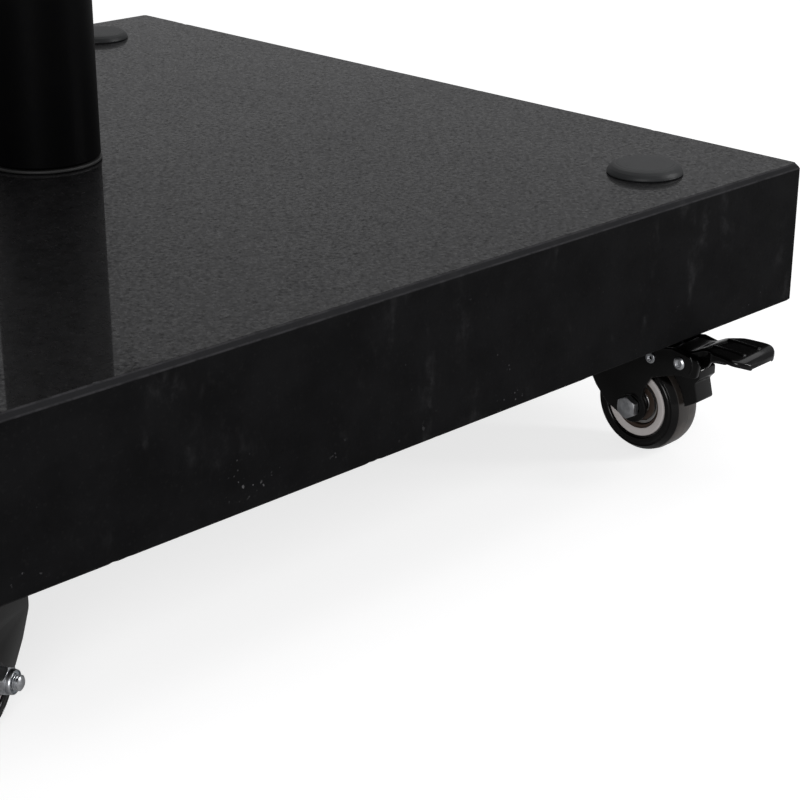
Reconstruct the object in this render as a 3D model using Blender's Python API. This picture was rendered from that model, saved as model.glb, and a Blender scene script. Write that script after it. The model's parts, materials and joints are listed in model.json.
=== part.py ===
"""Parasol base: a square granite slab on four braked swivel casters, with a pole socket tube.

Metres, +Z up.  The origin is on the floor under the middle of the slab, +X runs to the right
along the slab's front face and +Y runs to the back.
"""
import math

import bmesh
import bpy
from mathutils import Matrix

# ---- running and assembly gaps ---------------------------------------------------------------
GAP = 0.0003                 # between two faces that touch in the real assembly
PIN_GAP = 0.00015            # all round a pin in its hole

# ---- granite slab ----------------------------------------------------------------------------
SLAB_WIDTH = 0.520           # along X
SLAB_DEPTH = 0.520           # along Y
SLAB_THICKNESS = 0.070
TOP_CHAMFER = 0.0024
CORNER_CHAMFER = 0.0025      # upright corners
BOTTOM_CHAMFER = 0.0012
CASTER_INSET_SIDE = 0.069    # caster stem to the slab's left or right face
CASTER_INSET_FRONT = 0.042   # caster stem to the slab's front or rear face

# ---- cap, nut and stem of a caster -----------------------------------------------------------
CAP_RADIUS = 0.0182
CAP_RIM_HEIGHT = 0.0016
CAP_HEIGHT = 0.0052
CAP_PLUG_LENGTH = 0.005
CAP_PLUG_WALL = 0.002
CAP_BORE_RADIUS = 0.014      # counterbore under the cap
CAP_BORE_DEPTH = 0.016
STEM_RADIUS = 0.005
STEM_PAST_NUT = 0.0022
NUT_ACROSS_FLATS = 0.016
NUT_HEIGHT = 0.0100
NUT_FLANGE_RADIUS = 0.0105
NUT_FLANGE_HEIGHT = 0.002

# ---- swivel head -----------------------------------------------------------------------------
RACE_RADIUS = 0.0225
RACE_THICKNESS = 0.0025
BALL_DIAMETER = 0.0035
BALL_COUNT = 10
BALL_TRACK_RADIUS = 0.0155
BALL_CAGE_RADIUS = 0.0011    # half the cage's thickness between two balls
KINGPIN_RADIUS = 0.006
KINGPIN_HEAD_RADIUS = 0.0105
KINGPIN_HEAD_HEIGHT = 0.0022

# ---- fork ------------------------------------------------------------------------------------
FORK_PLATE = 0.0024
CROWN_RADIUS = 0.022
WHEEL_HEADROOM = 0.0088      # crown to tyre
WHEEL_SIDE_ROOM = 0.0012     # tyre to each leg
TRAIL = 0.0085               # axle behind the swivel axis, on the pedal's side
LEG_FRONT = 0.020            # leg's front edge ahead of the swivel axis
LEG_TOP_LAP = 0.0004         # legs' top edge below the crown's top
LEG_END_RADIUS = 0.0085      # round lower end about the axle
CROSS_RIVET_BACK = 0.0105    # shoe's rivet behind the axle
CROSS_RIVET_ABOVE = 0.0028   # shoe's rivet above the top of the tyre
CROSS_RIVET_RADIUS = 0.0021
RIVET_PROUD = 0.0008         # rivet's ends outside the legs
PEDAL_PIVOT_BEHIND = 0.0025  # pedal's pin behind the tyre's rear
PEDAL_PIVOT_ABOVE = 0.0045   # pedal's pin above the top of the tyre

# ---- wheel and axle --------------------------------------------------------------------------
WHEEL_RADIUS = 0.025
WHEEL_WIDTH = 0.0205
WHEEL_SEGMENTS = 28
RIM_RADIUS = 0.0168
RIM_WIDTH = 0.0192
RIM_DISH = 0.0016            # the rim's face falls this far towards the hub
BEARING_RADIUS = 0.011
BEARING_WIDTH = 0.014
AXLE_RADIUS = 0.003
AXLE_HEAD_FLATS = 0.010
AXLE_HEAD_HEIGHT = 0.004
AXLE_NUT_HEIGHT = 0.0074
AXLE_PAST_NUT = 0.0027
AXLE_END_CHAMFER = 0.0006
LOCK_COLLAR_HEIGHT = 0.002   # round end of the lock nut beyond its flats

# ---- brake -----------------------------------------------------------------------------------
PEDAL_PIN_RADIUS = 0.0026
PEDAL_PIN_HEAD_RADIUS = 0.0032
PEDAL_PIN_HEAD_HEIGHT = 0.0012
PEDAL_SHEET = 0.002
PEDAL_SIDE_ROOM = 0.0005     # pedal to each leg of the fork
PEDAL_REACH = 0.0365         # pin to tip
PEDAL_PAD_HALF_WIDTH = 0.0165
PEDAL_EAR_RADIUS = 0.0062
PEDAL_UNDER_SLAB = 0.0035    # pad's top below the slab
SHOE_GAP = 0.0016            # shoe to tyre with the brake off
SHOE_EYE_RADIUS = 0.0039
SHOE_SIDE_ROOM = 0.0024      # shoe to each ear of the pedal

# ---- pole socket -----------------------------------------------------------------------------
TUBE_RADIUS = 0.0275
TUBE_WALL = 0.002
TUBE_HEIGHT = 0.340
TUBE_END_PLATE = 0.006
FOOT_RING_PROUD = 0.0005     # ring outside the tube
FOOT_RING_BORE = 0.0110
FOOT_RING_HEIGHT = 0.0014
SOCKET_BOLT_RADIUS = 0.006
SOCKET_BOLT_FLATS = 0.018
SOCKET_BOLT_HEAD = 0.0075
SOCKET_BOLT_PAST_PLATE = 0.003
WASHER_RADIUS = 0.018
WASHER_THICKNESS = 0.003
SOCKET_BORE_RADIUS = 0.021   # counterbore under the slab
SOCKET_BORE_DEPTH = 0.014
SLEEVE_FLANGE_PROUD = 0.0025 # flange outside the tube
SLEEVE_FLANGE_HEIGHT = 0.006
SLEEVE_INSERT = 0.030
SLEEVE_BORE_RADIUS = 0.0195

# ---- clamp knobs -----------------------------------------------------------------------------
KNOB_DROPS = {"upper": 0.070, "lower": 0.200}    # each knob's axis below the top of the tube
BOSS_RADIUS = 0.0085
BOSS_LENGTH = 0.009
KNOB_SCREW_RADIUS = 0.004
KNOB_SCREW_INTO_TUBE = 0.002
KNOB_STANDOFF = 0.003        # knob clear of the boss when clamped
KNOB_RADIUS = 0.019
KNOB_LOBE = 0.0022
KNOB_LOBES = 5
KNOB_THICKNESS = 0.015

# ---- how each caster stands: side of the slab along X and Y, and the pedal's heading -----------
CASTERS = {
    "front_right": (1, -1, -88.0),
    "front_left": (-1, -1, -151.0),
    "rear_left": (-1, 1, 92.0),
    "rear_right": (1, 1, 29.0),
}

# ---- heights inside a caster, measured from the slab's underside --------------------------------
RACE_TOP = -GAP
RACE_BOTTOM = RACE_TOP - RACE_THICKNESS
BALL_MIDDLE = RACE_BOTTOM - GAP - BALL_DIAMETER / 2
CROWN_TOP = BALL_MIDDLE - BALL_DIAMETER / 2 - GAP
CROWN_BOTTOM = CROWN_TOP - FORK_PLATE
AXLE_Z = CROWN_BOTTOM - WHEEL_HEADROOM - WHEEL_RADIUS
AXLE_HEIGHT = WHEEL_RADIUS * math.cos(math.pi / WHEEL_SEGMENTS)
SLAB_BOTTOM = AXLE_HEIGHT - AXLE_Z
SLAB_TOP = SLAB_BOTTOM + SLAB_THICKNESS

# ---- places across a caster, from the middle of the wheel --------------------------------------
LEG_INNER = WHEEL_WIDTH / 2 + WHEEL_SIDE_ROOM
LEG_OUTER = LEG_INNER + FORK_PLATE
PEDAL_HALF_WIDTH = LEG_INNER - PEDAL_SIDE_ROOM
SHOE_HALF_WIDTH = PEDAL_HALF_WIDTH - PEDAL_SHEET - SHOE_SIDE_ROOM
PIVOT_X = TRAIL + WHEEL_RADIUS + PEDAL_PIVOT_BEHIND
PIVOT_Z = AXLE_Z + WHEEL_RADIUS + PEDAL_PIVOT_ABOVE
RIVET_X = TRAIL + CROSS_RIVET_BACK
RIVET_Z = AXLE_Z + WHEEL_RADIUS + CROSS_RIVET_ABOVE

FINE = 20                    # segments of the larger turned pieces
COARSE = 12                  # segments of pins, screws and small holes
KNOB_LOBE_STEPS = 6          # outline points for each lobe of a knob
OVERCUT = 0.002              # a drill's length beyond the face it breaks through


# =============================================================================================
# Helpers
# =============================================================================================
def clear_scene():
    """Remove every object that the file opened with."""
    for item in list(bpy.data.objects):
        bpy.data.objects.remove(item, do_unlink=True)


def finish(name, color, roughness, metallic):
    """Return a Principled material."""
    material = bpy.data.materials.new(name)
    material.use_nodes = True
    shader = material.node_tree.nodes["Principled BSDF"]
    shader.inputs["Base Color"].default_value = (*color, 1.0)
    shader.inputs["Roughness"].default_value = roughness
    shader.inputs["Metallic"].default_value = metallic
    return material


def empty(name, location, heading=0.0, parent=None):
    """Return an empty that carries a sub-assembly."""
    holder = bpy.data.objects.new(name, None)
    bpy.context.collection.objects.link(holder)
    holder.location = location
    holder.rotation_euler = (0.0, 0.0, math.radians(heading))
    holder.parent = parent
    return holder


def piece(name, bm, material=None, parent=None, location=(0, 0, 0), rotation=(0, 0, 0)):
    """Make one named object from a bmesh, with its faces pointing out."""
    bmesh.ops.recalc_face_normals(bm, faces=bm.faces)
    mesh = bpy.data.meshes.new(name)
    bm.to_mesh(mesh)
    bm.free()
    mesh.shade_smooth()
    mesh.set_sharp_from_angle(angle=math.radians(35))
    item = bpy.data.objects.new(name, mesh)
    bpy.context.collection.objects.link(item)
    item.location = location
    item.rotation_euler = rotation
    item.parent = parent
    if material:
        mesh.materials.append(material)
    return item


def tool(name, bm, parent=None, location=(0, 0, 0), rotation=(0, 0, 0)):
    """Make a hidden solid that cuts another piece or is added to it."""
    item = piece(name, bm, None, parent, location, rotation)
    item.hide_render = True
    item.display_type = "WIRE"
    return item


def combine(target, other, operation):
    """Cut the other solid from the target, or add it."""
    modifier = target.modifiers.new(operation.lower(), "BOOLEAN")
    modifier.operation = operation
    modifier.solver = "EXACT"
    modifier.object = other


def turned(profile, segments, phase=0.0):
    """Spin a profile of (radius, height) points about Z; it closes on itself or on the axis."""
    bm = bmesh.new()
    corners = [bm.verts.new((radius, 0.0, height)) for radius, height in profile]
    on_axis = profile[0][0] == 0.0 and profile[-1][0] == 0.0
    pairs = list(zip(corners, corners[1:]))
    if not on_axis:
        pairs.append((corners[-1], corners[0]))
    for first, second in pairs:
        bm.edges.new((first, second))
    if phase:
        bmesh.ops.rotate(bm, verts=bm.verts, cent=(0, 0, 0), matrix=Matrix.Rotation(phase, 3, "Z"))
    bmesh.ops.spin(bm, geom=bm.verts[:] + bm.edges[:], cent=(0, 0, 0), axis=(0, 0, 1),
                   angle=math.tau, steps=segments, use_merge=True)
    bmesh.ops.remove_doubles(bm, verts=bm.verts, dist=1e-6)
    return bm


def rod(radius, low, high, segments=COARSE):
    """A plain round bar along Z."""
    return turned([(0.0, low), (radius, low), (radius, high), (0.0, high)], segments)


def extruded(outline, low, high):
    """Raise a flat outline of (x, y) points from one height to another."""
    bm = bmesh.new()
    face = bm.faces.new([bm.verts.new((x, y, low)) for x, y in outline])
    lifted = bmesh.ops.extrude_face_region(bm, geom=[face])["geom"]
    top = [item for item in lifted if isinstance(item, bmesh.types.BMVert)]
    bmesh.ops.translate(bm, verts=top, vec=(0, 0, high - low))
    return bm


def hexagon(across_flats):
    """The six corners of a hexagon of the given width across its flats."""
    radius = across_flats / math.sqrt(3)
    return [(radius * math.cos(step * math.pi / 3), radius * math.sin(step * math.pi / 3))
            for step in range(6)]


def arc(center, radius, start, end, steps):
    """Points on an arc, with its angles in degrees."""
    angles = [math.radians(start + (end - start) * step / steps) for step in range(steps + 1)]
    return [(center[0] + radius * math.cos(a), center[1] + radius * math.sin(a)) for a in angles]


LYING = (math.pi / 2, 0.0, 0.0)          # turns a piece's Z to -Y, and its Y to Z


# =============================================================================================
# Slab and pole socket
# =============================================================================================
def caster_place(side_x, side_y):
    """A caster stem's place under the slab."""
    return (side_x * (SLAB_WIDTH / 2 - CASTER_INSET_SIDE),
            side_y * (SLAB_DEPTH / 2 - CASTER_INSET_FRONT), SLAB_BOTTOM)


def chamfer(bm, chosen, width):
    """Take the corner off the chosen edges."""
    edges = [edge for edge in bm.edges if chosen(edge)]
    bmesh.ops.bevel(bm, geom=edges, offset=width, offset_type="OFFSET", segments=1,
                    profile=0.5, affect="EDGES", clamp_overlap=True, material=-1)


def build_slab(material):
    """The granite slab, with a stepped hole over each caster and one under the pole socket."""
    bm = bmesh.new()
    bmesh.ops.create_cube(bm, size=1.0)
    bmesh.ops.scale(bm, vec=(SLAB_WIDTH, SLAB_DEPTH, SLAB_THICKNESS), verts=bm.verts)
    bmesh.ops.translate(bm, verts=bm.verts, vec=(0, 0, SLAB_THICKNESS / 2))
    chamfer(bm, lambda edge: edge.verts[0].co.xy == edge.verts[1].co.xy, CORNER_CHAMFER)
    chamfer(bm, lambda edge: all(v.co.z > SLAB_THICKNESS - 1e-6 for v in edge.verts), TOP_CHAMFER)
    chamfer(bm, lambda edge: all(v.co.z < 1e-6 for v in edge.verts), BOTTOM_CHAMFER)
    slab = piece("granite_slab", bm, material, location=(0, 0, SLAB_BOTTOM))
    over = SLAB_THICKNESS + OVERCUT
    step = SLAB_THICKNESS - CAP_BORE_DEPTH
    hole = STEM_RADIUS + GAP
    caster_hole = [(0, -OVERCUT), (hole, -OVERCUT), (hole, step), (CAP_BORE_RADIUS, step),
                   (CAP_BORE_RADIUS, over), (0, over)]
    for name, (side_x, side_y, _) in CASTERS.items():
        cutter = tool(f"{name}_caster_hole", turned(caster_hole, FINE),
                      location=caster_place(side_x, side_y))
        combine(slab, cutter, "DIFFERENCE")
    hole = SOCKET_BOLT_RADIUS + GAP
    socket_hole = [(0, -OVERCUT), (SOCKET_BORE_RADIUS, -OVERCUT),
                   (SOCKET_BORE_RADIUS, SOCKET_BORE_DEPTH), (hole, SOCKET_BORE_DEPTH),
                   (hole, over), (0, over)]
    cutter = tool("socket_hole", turned(socket_hole, FINE), location=(0, 0, SLAB_BOTTOM))
    combine(slab, cutter, "DIFFERENCE")


def build_socket_tube(material, base, top):
    """The tube with its welded end plate and one threaded boss for each clamp knob."""
    inner = TUBE_RADIUS - TUBE_WALL
    hole = SOCKET_BOLT_RADIUS + GAP
    profile = [(hole, base), (TUBE_RADIUS, base), (TUBE_RADIUS, top), (inner, top),
               (inner, base + TUBE_END_PLATE), (hole, base + TUBE_END_PLATE)]
    tube = piece("socket_tube", turned(profile, FINE), material)
    sideways = (0.0, math.pi / 2, 0.0)
    for name, drop in KNOB_DROPS.items():
        place = (0.0, 0.0, top - drop)
        boss = tool(f"{name}_boss", rod(BOSS_RADIUS, TUBE_RADIUS - TUBE_WALL / 2,
                                        TUBE_RADIUS + BOSS_LENGTH), None, place, sideways)
        drill = tool(f"{name}_boss_hole", rod(KNOB_SCREW_RADIUS + GAP, inner - OVERCUT,
                                              TUBE_RADIUS + BOSS_LENGTH + OVERCUT), None, place, sideways)
        combine(tube, boss, "UNION")
        combine(tube, drill, "DIFFERENCE")


def build_knob(name, height, material):
    """A lobed clamp knob on its screw, lying along +X through the tube's boss."""
    inner = TUBE_RADIUS - TUBE_WALL
    tip = inner - KNOB_SCREW_INTO_TUBE
    face = TUBE_RADIUS + BOSS_LENGTH + KNOB_STANDOFF
    place = (tip, 0.0, height)
    sideways = (0.0, math.pi / 2, 0.0)
    steps = KNOB_LOBES * KNOB_LOBE_STEPS
    outline = []
    for step in range(steps):
        turn = math.tau * step / steps
        radius = KNOB_RADIUS - KNOB_LOBE + KNOB_LOBE * math.cos(KNOB_LOBES * turn)
        outline.append((radius * math.cos(turn), radius * math.sin(turn)))
    head = extruded(outline, face - tip, face - tip + KNOB_THICKNESS)
    chamfer(head, lambda edge: abs(edge.verts[0].co.z - edge.verts[1].co.z) < 1e-6, KNOB_LOBE / 2)
    knob = piece(f"{name}_clamp_knob", head, material, None, place, sideways)
    screw = tool(f"{name}_clamp_screw", rod(KNOB_SCREW_RADIUS, 0.0, face - tip + KNOB_THICKNESS / 2),
                 None, place, sideways)
    combine(knob, screw, "UNION")


def build_pole_socket(steel, plastic, zinc, rubber):
    """Everything that stands on the middle of the slab, and the bolt that holds it from below."""
    ring_base = SLAB_TOP + GAP
    outer = TUBE_RADIUS + FOOT_RING_PROUD
    profile = [(FOOT_RING_BORE, 0), (outer, 0), (outer, FOOT_RING_HEIGHT),
               (FOOT_RING_BORE, FOOT_RING_HEIGHT)]
    piece("socket_foot_ring", turned(profile, FINE), rubber, location=(0, 0, ring_base))
    tube_base = ring_base + FOOT_RING_HEIGHT + GAP
    tube_top = tube_base + TUBE_HEIGHT
    build_socket_tube(steel, tube_base, tube_top)

    insert = TUBE_RADIUS - TUBE_WALL - GAP
    flange = TUBE_RADIUS + SLEEVE_FLANGE_PROUD
    profile = [(SLEEVE_BORE_RADIUS, -SLEEVE_INSERT), (insert, -SLEEVE_INSERT), (insert, GAP),
               (flange, GAP), (flange, SLEEVE_FLANGE_HEIGHT),
               (SLEEVE_BORE_RADIUS, SLEEVE_FLANGE_HEIGHT)]
    piece("pole_sleeve", turned(profile, FINE), plastic, location=(0, 0, tube_top))

    washer_base = SLAB_BOTTOM + SOCKET_BORE_DEPTH - GAP - WASHER_THICKNESS
    hole = SOCKET_BOLT_RADIUS + GAP
    profile = [(hole, 0), (WASHER_RADIUS, 0), (WASHER_RADIUS, WASHER_THICKNESS), (hole, WASHER_THICKNESS)]
    piece("socket_washer", turned(profile, FINE), zinc, location=(0, 0, washer_base))

    head_top = washer_base - GAP
    shank = tube_base + TUBE_END_PLATE + SOCKET_BOLT_PAST_PLATE - head_top
    bolt = piece("socket_bolt", extruded(hexagon(SOCKET_BOLT_FLATS), -SOCKET_BOLT_HEAD, 0), zinc,
                 location=(0, 0, head_top))
    combine(bolt, tool("socket_bolt_shank", rod(SOCKET_BOLT_RADIUS, -SOCKET_BOLT_HEAD / 2, shank),
                       location=(0, 0, head_top)), "UNION")

    for name, drop in KNOB_DROPS.items():
        build_knob(name, tube_top - drop, plastic)


# =============================================================================================
# One caster, built about its swivel axis with the pedal towards +X
# =============================================================================================
def build_cap(name, place, material):
    """The round cap that plugs the counterbore over a caster's nut."""
    plug = CAP_BORE_RADIUS - GAP
    ring = plug - CAP_PLUG_WALL
    profile = [(0, GAP), (ring, GAP), (ring, -CAP_PLUG_LENGTH), (plug, -CAP_PLUG_LENGTH), (plug, GAP),
               (CAP_RADIUS, GAP), (CAP_RADIUS, CAP_RIM_HEIGHT),
               (CAP_RADIUS - 0.0020, CAP_HEIGHT - 0.0012), (CAP_RADIUS - 0.0036, CAP_HEIGHT - 0.0004),
               (CAP_RADIUS / 2, CAP_HEIGHT - 0.0001), (0, CAP_HEIGHT)]
    piece(f"{name}_stem_cap", turned(profile, FINE), material, None, (place[0], place[1], SLAB_TOP))


def build_stem(name, holder, material):
    """The threaded stem, made in one with the upper race and the kingpin under it."""
    nut_seat = SLAB_THICKNESS - CAP_BORE_DEPTH
    top = nut_seat + GAP + NUT_HEIGHT + STEM_PAST_NUT
    head_top = CROWN_BOTTOM - GAP
    head_bottom = head_top - KINGPIN_HEAD_HEIGHT
    profile = [(0, head_bottom), (KINGPIN_HEAD_RADIUS, head_bottom), (KINGPIN_HEAD_RADIUS, head_top),
               (KINGPIN_RADIUS, head_top), (KINGPIN_RADIUS, RACE_BOTTOM), (RACE_RADIUS, RACE_BOTTOM),
               (RACE_RADIUS, RACE_TOP), (STEM_RADIUS, RACE_TOP), (STEM_RADIUS, top - 0.001),
               (STEM_RADIUS - 0.001, top), (0, top)]
    piece(f"{name}_swivel_stem", turned(profile, FINE), material, holder)

    bore = STEM_RADIUS + GAP
    nut = piece(f"{name}_stem_nut", extruded(hexagon(NUT_ACROSS_FLATS), 0, NUT_HEIGHT), material,
                holder, (0, 0, nut_seat + GAP))
    flange = turned([(bore, 0), (NUT_FLANGE_RADIUS, 0), (NUT_FLANGE_RADIUS, NUT_FLANGE_HEIGHT),
                     (bore, NUT_FLANGE_HEIGHT)], FINE)
    combine(nut, tool(f"{name}_nut_flange", flange, holder, (0, 0, nut_seat + GAP)), "UNION")
    drill = rod(bore, -OVERCUT, NUT_HEIGHT + OVERCUT, FINE)
    combine(nut, tool(f"{name}_nut_bore", drill, holder, (0, 0, nut_seat + GAP)), "DIFFERENCE")


def build_ball_ring(name, swivel, material):
    """The swivel's balls in their cage: a ring that swells at each ball."""
    around = 2
    sides = 6
    steps = BALL_COUNT * around
    bm = bmesh.new()
    rings = []
    for step in range(steps):
        turn = math.tau * step / steps
        swell = 0.5 + 0.5 * math.cos(BALL_COUNT * turn)
        radius = BALL_CAGE_RADIUS + (BALL_DIAMETER / 2 - BALL_CAGE_RADIUS) * swell
        ring = []
        for side in range(sides):
            lean = math.tau * (side + 0.5) / sides
            out = BALL_TRACK_RADIUS + radius * math.cos(lean)
            ring.append(bm.verts.new((out * math.cos(turn), out * math.sin(turn), radius * math.sin(lean))))
        rings.append(ring)
    for step in range(steps):
        here, there = rings[step], rings[(step + 1) % steps]
        for side in range(sides):
            after = (side + 1) % sides
            bm.faces.new((here[side], here[after], there[after], there[side]))
    piece(f"{name}_ball_ring", bm, material, swivel, (0, 0, BALL_MIDDLE))


def leg_outline():
    """A fork leg seen from its side, as (x, z) points in order."""
    axle = (TRAIL, AXLE_Z)
    top = CROWN_TOP - LEG_TOP_LAP
    points = [(-LEG_FRONT, top), (-LEG_FRONT, AXLE_Z + 0.0152), (TRAIL - 0.0220, AXLE_Z + 0.0052),
              (TRAIL - 0.0150, AXLE_Z - 0.0022)]
    points += arc(axle, LEG_END_RADIUS, 232, 370, 6)
    points += [(TRAIL + 0.0062, AXLE_Z + 0.0060), (TRAIL + 0.0068, AXLE_Z + 0.0100),
               (TRAIL + 0.0086, AXLE_Z + 0.0133), (TRAIL + 0.0114, AXLE_Z + 0.0178),
               (PIVOT_X - 0.0023, PIVOT_Z - 0.0069), (PIVOT_X + 0.0096, PIVOT_Z - 0.0058),
               (PIVOT_X + 0.0113, PIVOT_Z + 0.0033), (PIVOT_X - 0.0050, PIVOT_Z + 0.0062),
               (CROWN_RADIUS, top)]
    return points


def build_fork(name, swivel, material):
    """The stamped fork: a round crown, two legs, and the cross rivet that the shoe hangs on."""
    hole = KINGPIN_RADIUS + GAP
    crown = turned([(hole, CROWN_BOTTOM), (CROWN_RADIUS, CROWN_BOTTOM), (CROWN_RADIUS, CROWN_TOP),
                    (hole, CROWN_TOP)], FINE)
    fork = piece(f"{name}_fork", crown, material, swivel)
    outline = leg_outline()
    for label, low in (("left", -LEG_OUTER), ("right", LEG_INNER)):
        leg = extruded([(x, z) for x, z in outline], -low - FORK_PLATE, -low)
        combine(fork, tool(f"{name}_{label}_leg", leg, swivel, (0, 0, 0), LYING), "UNION")
    rivet = rod(CROSS_RIVET_RADIUS, -LEG_OUTER - RIVET_PROUD, LEG_OUTER + RIVET_PROUD)
    combine(fork, tool(f"{name}_cross_rivet", rivet, swivel, (RIVET_X, 0, RIVET_Z), LYING), "UNION")
    reach = LEG_OUTER + OVERCUT
    for label, radius, x, z in (("axle", AXLE_RADIUS, TRAIL, AXLE_Z),
                                ("pedal_pin", PEDAL_PIN_RADIUS, PIVOT_X, PIVOT_Z)):
        drill = rod(radius + PIN_GAP, -reach, reach)
        combine(fork, tool(f"{name}_{label}_hole", drill, swivel, (x, 0, z), LYING), "DIFFERENCE")


def build_axle(name, swivel, material):
    """The axle bolt, its head on the -Y side, and the lock nut on the other side."""
    place = (TRAIL, 0, AXLE_Z)
    seat = LEG_OUTER + GAP
    end = seat + AXLE_NUT_HEIGHT + AXLE_PAST_NUT
    bolt = piece(f"{name}_axle_bolt", extruded(hexagon(AXLE_HEAD_FLATS), seat, seat + AXLE_HEAD_HEIGHT),
                 material, swivel, place, LYING)
    point = AXLE_RADIUS - AXLE_END_CHAMFER
    shank = turned([(0, -end), (point, -end), (AXLE_RADIUS, -end + AXLE_END_CHAMFER),
                    (AXLE_RADIUS, seat + AXLE_HEAD_HEIGHT / 2), (0, seat + AXLE_HEAD_HEIGHT / 2)], COARSE)
    combine(bolt, tool(f"{name}_axle_shank", shank, swivel, place, LYING), "UNION")

    hexagonal = AXLE_NUT_HEIGHT - LOCK_COLLAR_HEIGHT
    nut = piece(f"{name}_axle_nut", extruded(hexagon(AXLE_HEAD_FLATS), -seat - hexagonal, -seat),
                material, swivel, place, LYING)
    collar = rod(AXLE_HEAD_FLATS / 2 - 0.0002, -seat - AXLE_NUT_HEIGHT, -seat - hexagonal / 2)
    combine(nut, tool(f"{name}_nut_collar", collar, swivel, place, LYING), "UNION")
    drill = rod(AXLE_RADIUS + PIN_GAP, -seat - AXLE_NUT_HEIGHT - OVERCUT, -seat + OVERCUT)
    combine(nut, tool(f"{name}_axle_nut_bore", drill, swivel, place, LYING), "DIFFERENCE")


def mirrored(half):
    """A closed profile from the points of its upper half, outer side first."""
    return half + [(radius, -height) for radius, height in reversed(half)]


def build_wheel(name, wheel, tyre_material, rim_material, zinc):
    """The tyre, the rim pressed into it and the bearing in the rim, turned about the axle."""
    half = WHEEL_WIDTH / 2
    face = RIM_WIDTH / 2
    phase = math.pi / WHEEL_SEGMENTS
    tyre = mirrored([(RIM_RADIUS + GAP, half - 0.0006), (RIM_RADIUS + 0.0016, half),
                     (WHEEL_RADIUS - 0.0022, half - 0.0008), (WHEEL_RADIUS - 0.0005, half - 0.0026),
                     (WHEEL_RADIUS, half - 0.0052)])
    piece(f"{name}_tyre", turned(tyre, WHEEL_SEGMENTS, phase), tyre_material, wheel, (0, 0, 0), LYING)
    bore = BEARING_RADIUS + GAP
    rim = mirrored([(bore, face - RIM_DISH), (bore + 0.0010, face - RIM_DISH),
                    (RIM_RADIUS - 0.0008, face), (RIM_RADIUS, face - 0.0006)])
    piece(f"{name}_rim", turned(rim, WHEEL_SEGMENTS, phase), rim_material, wheel, (0, 0, 0), LYING)
    bearing = mirrored([(AXLE_RADIUS + PIN_GAP, BEARING_WIDTH / 2),
                        (BEARING_RADIUS - 0.0005, BEARING_WIDTH / 2),
                        (BEARING_RADIUS, BEARING_WIDTH / 2 - 0.0005)])
    piece(f"{name}_wheel_bearing", turned(bearing, WHEEL_SEGMENTS, phase), zinc, wheel, (0, 0, 0), LYING)


def channel(half_width, top, drop, sheet, bend):
    """Half-open channel section: (y, z) points of a sheet with both edges bent down."""
    inner = half_width - sheet
    under = top - sheet
    right = [(half_width, top - drop), (half_width, top - bend), (half_width - bend, top)]
    left = [(-y, z) for y, z in reversed(right)]
    inside_left = [(-inner, top - drop), (-inner, under - 0.0004), (-inner + 0.0004, under)]
    inside_right = [(-y, z) for y, z in reversed(inside_left)]
    return right + left + inside_left + inside_right


def pedal_stations():
    """Sections along the pedal, measured from its pin: x, half width, top, depth of the bent edges."""
    pad_top = -PEDAL_UNDER_SLAB - PIVOT_Z
    neck_top = pad_top - 0.0046
    ear = PEDAL_EAR_RADIUS
    neck = PEDAL_HALF_WIDTH
    pad = PEDAL_PAD_HALF_WIDTH
    reach = PEDAL_REACH
    shallow = PEDAL_SHEET + 0.0008
    return [
        (-ear, neck, neck_top, neck_top + 0.0020),
        (-0.60 * ear, neck, neck_top, neck_top + 0.80 * ear),
        (0.0, neck, neck_top, neck_top + ear),
        (0.60 * ear, neck, neck_top + 0.0006, neck_top + 0.80 * ear),
        (ear + 0.0010, neck, neck_top + 0.0022, neck_top + 0.0048),
        (ear + 0.0040, neck - 0.0002, pad_top - 0.0010, neck_top + 0.0046),
        (ear + 0.0080, neck + 0.0008, pad_top - 0.0002, neck_top + 0.0036),
        (reach - 0.0185, neck + 0.0030, pad_top, shallow + 0.0024),
        (reach - 0.0125, pad - 0.0006, pad_top, shallow + 0.0020),
        (reach - 0.0060, pad, pad_top - 0.0004, shallow + 0.0020),
        (reach - 0.0020, pad - 0.0024, pad_top - 0.0016, shallow + 0.0016),
        (reach, pad - 0.0060, pad_top - 0.0034, shallow),
    ]


def build_pedal(name, pedal, material):
    """The stamped brake pedal: ears about the pin, a neck and a wide foot pad."""
    bm = bmesh.new()
    rings = []
    for x, half_width, top, drop in pedal_stations():
        section = channel(half_width, top, drop, PEDAL_SHEET, 0.0012)
        rings.append([bm.verts.new((x, y, z)) for y, z in section])
    for here, there in zip(rings, rings[1:]):
        for side in range(len(here)):
            after = (side + 1) % len(here)
            bm.faces.new((here[side], here[after], there[after], there[side]))
    bm.faces.new(rings[0])
    bm.faces.new(reversed(rings[-1]))
    body = piece(f"{name}_brake_pedal", bm, material, pedal)
    drill = rod(PEDAL_PIN_RADIUS + PIN_GAP, -LEG_INNER, LEG_INNER)
    combine(body, tool(f"{name}_pedal_bore", drill, pedal, (0, 0, 0), LYING), "DIFFERENCE")


def build_pedal_pin(name, swivel, material):
    """The rivet that the pedal turns on, with a head outside each leg."""
    seat = LEG_OUTER + GAP
    profile = mirrored([(0, seat + PEDAL_PIN_HEAD_HEIGHT),
                        (PEDAL_PIN_HEAD_RADIUS - 0.0006, seat + PEDAL_PIN_HEAD_HEIGHT),
                        (PEDAL_PIN_HEAD_RADIUS, seat + PEDAL_PIN_HEAD_HEIGHT - 0.0006),
                        (PEDAL_PIN_HEAD_RADIUS, seat), (PEDAL_PIN_RADIUS, seat)])
    piece(f"{name}_pedal_pin", turned(profile, COARSE), material, swivel, (PIVOT_X, 0, PIVOT_Z), LYING)


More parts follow.
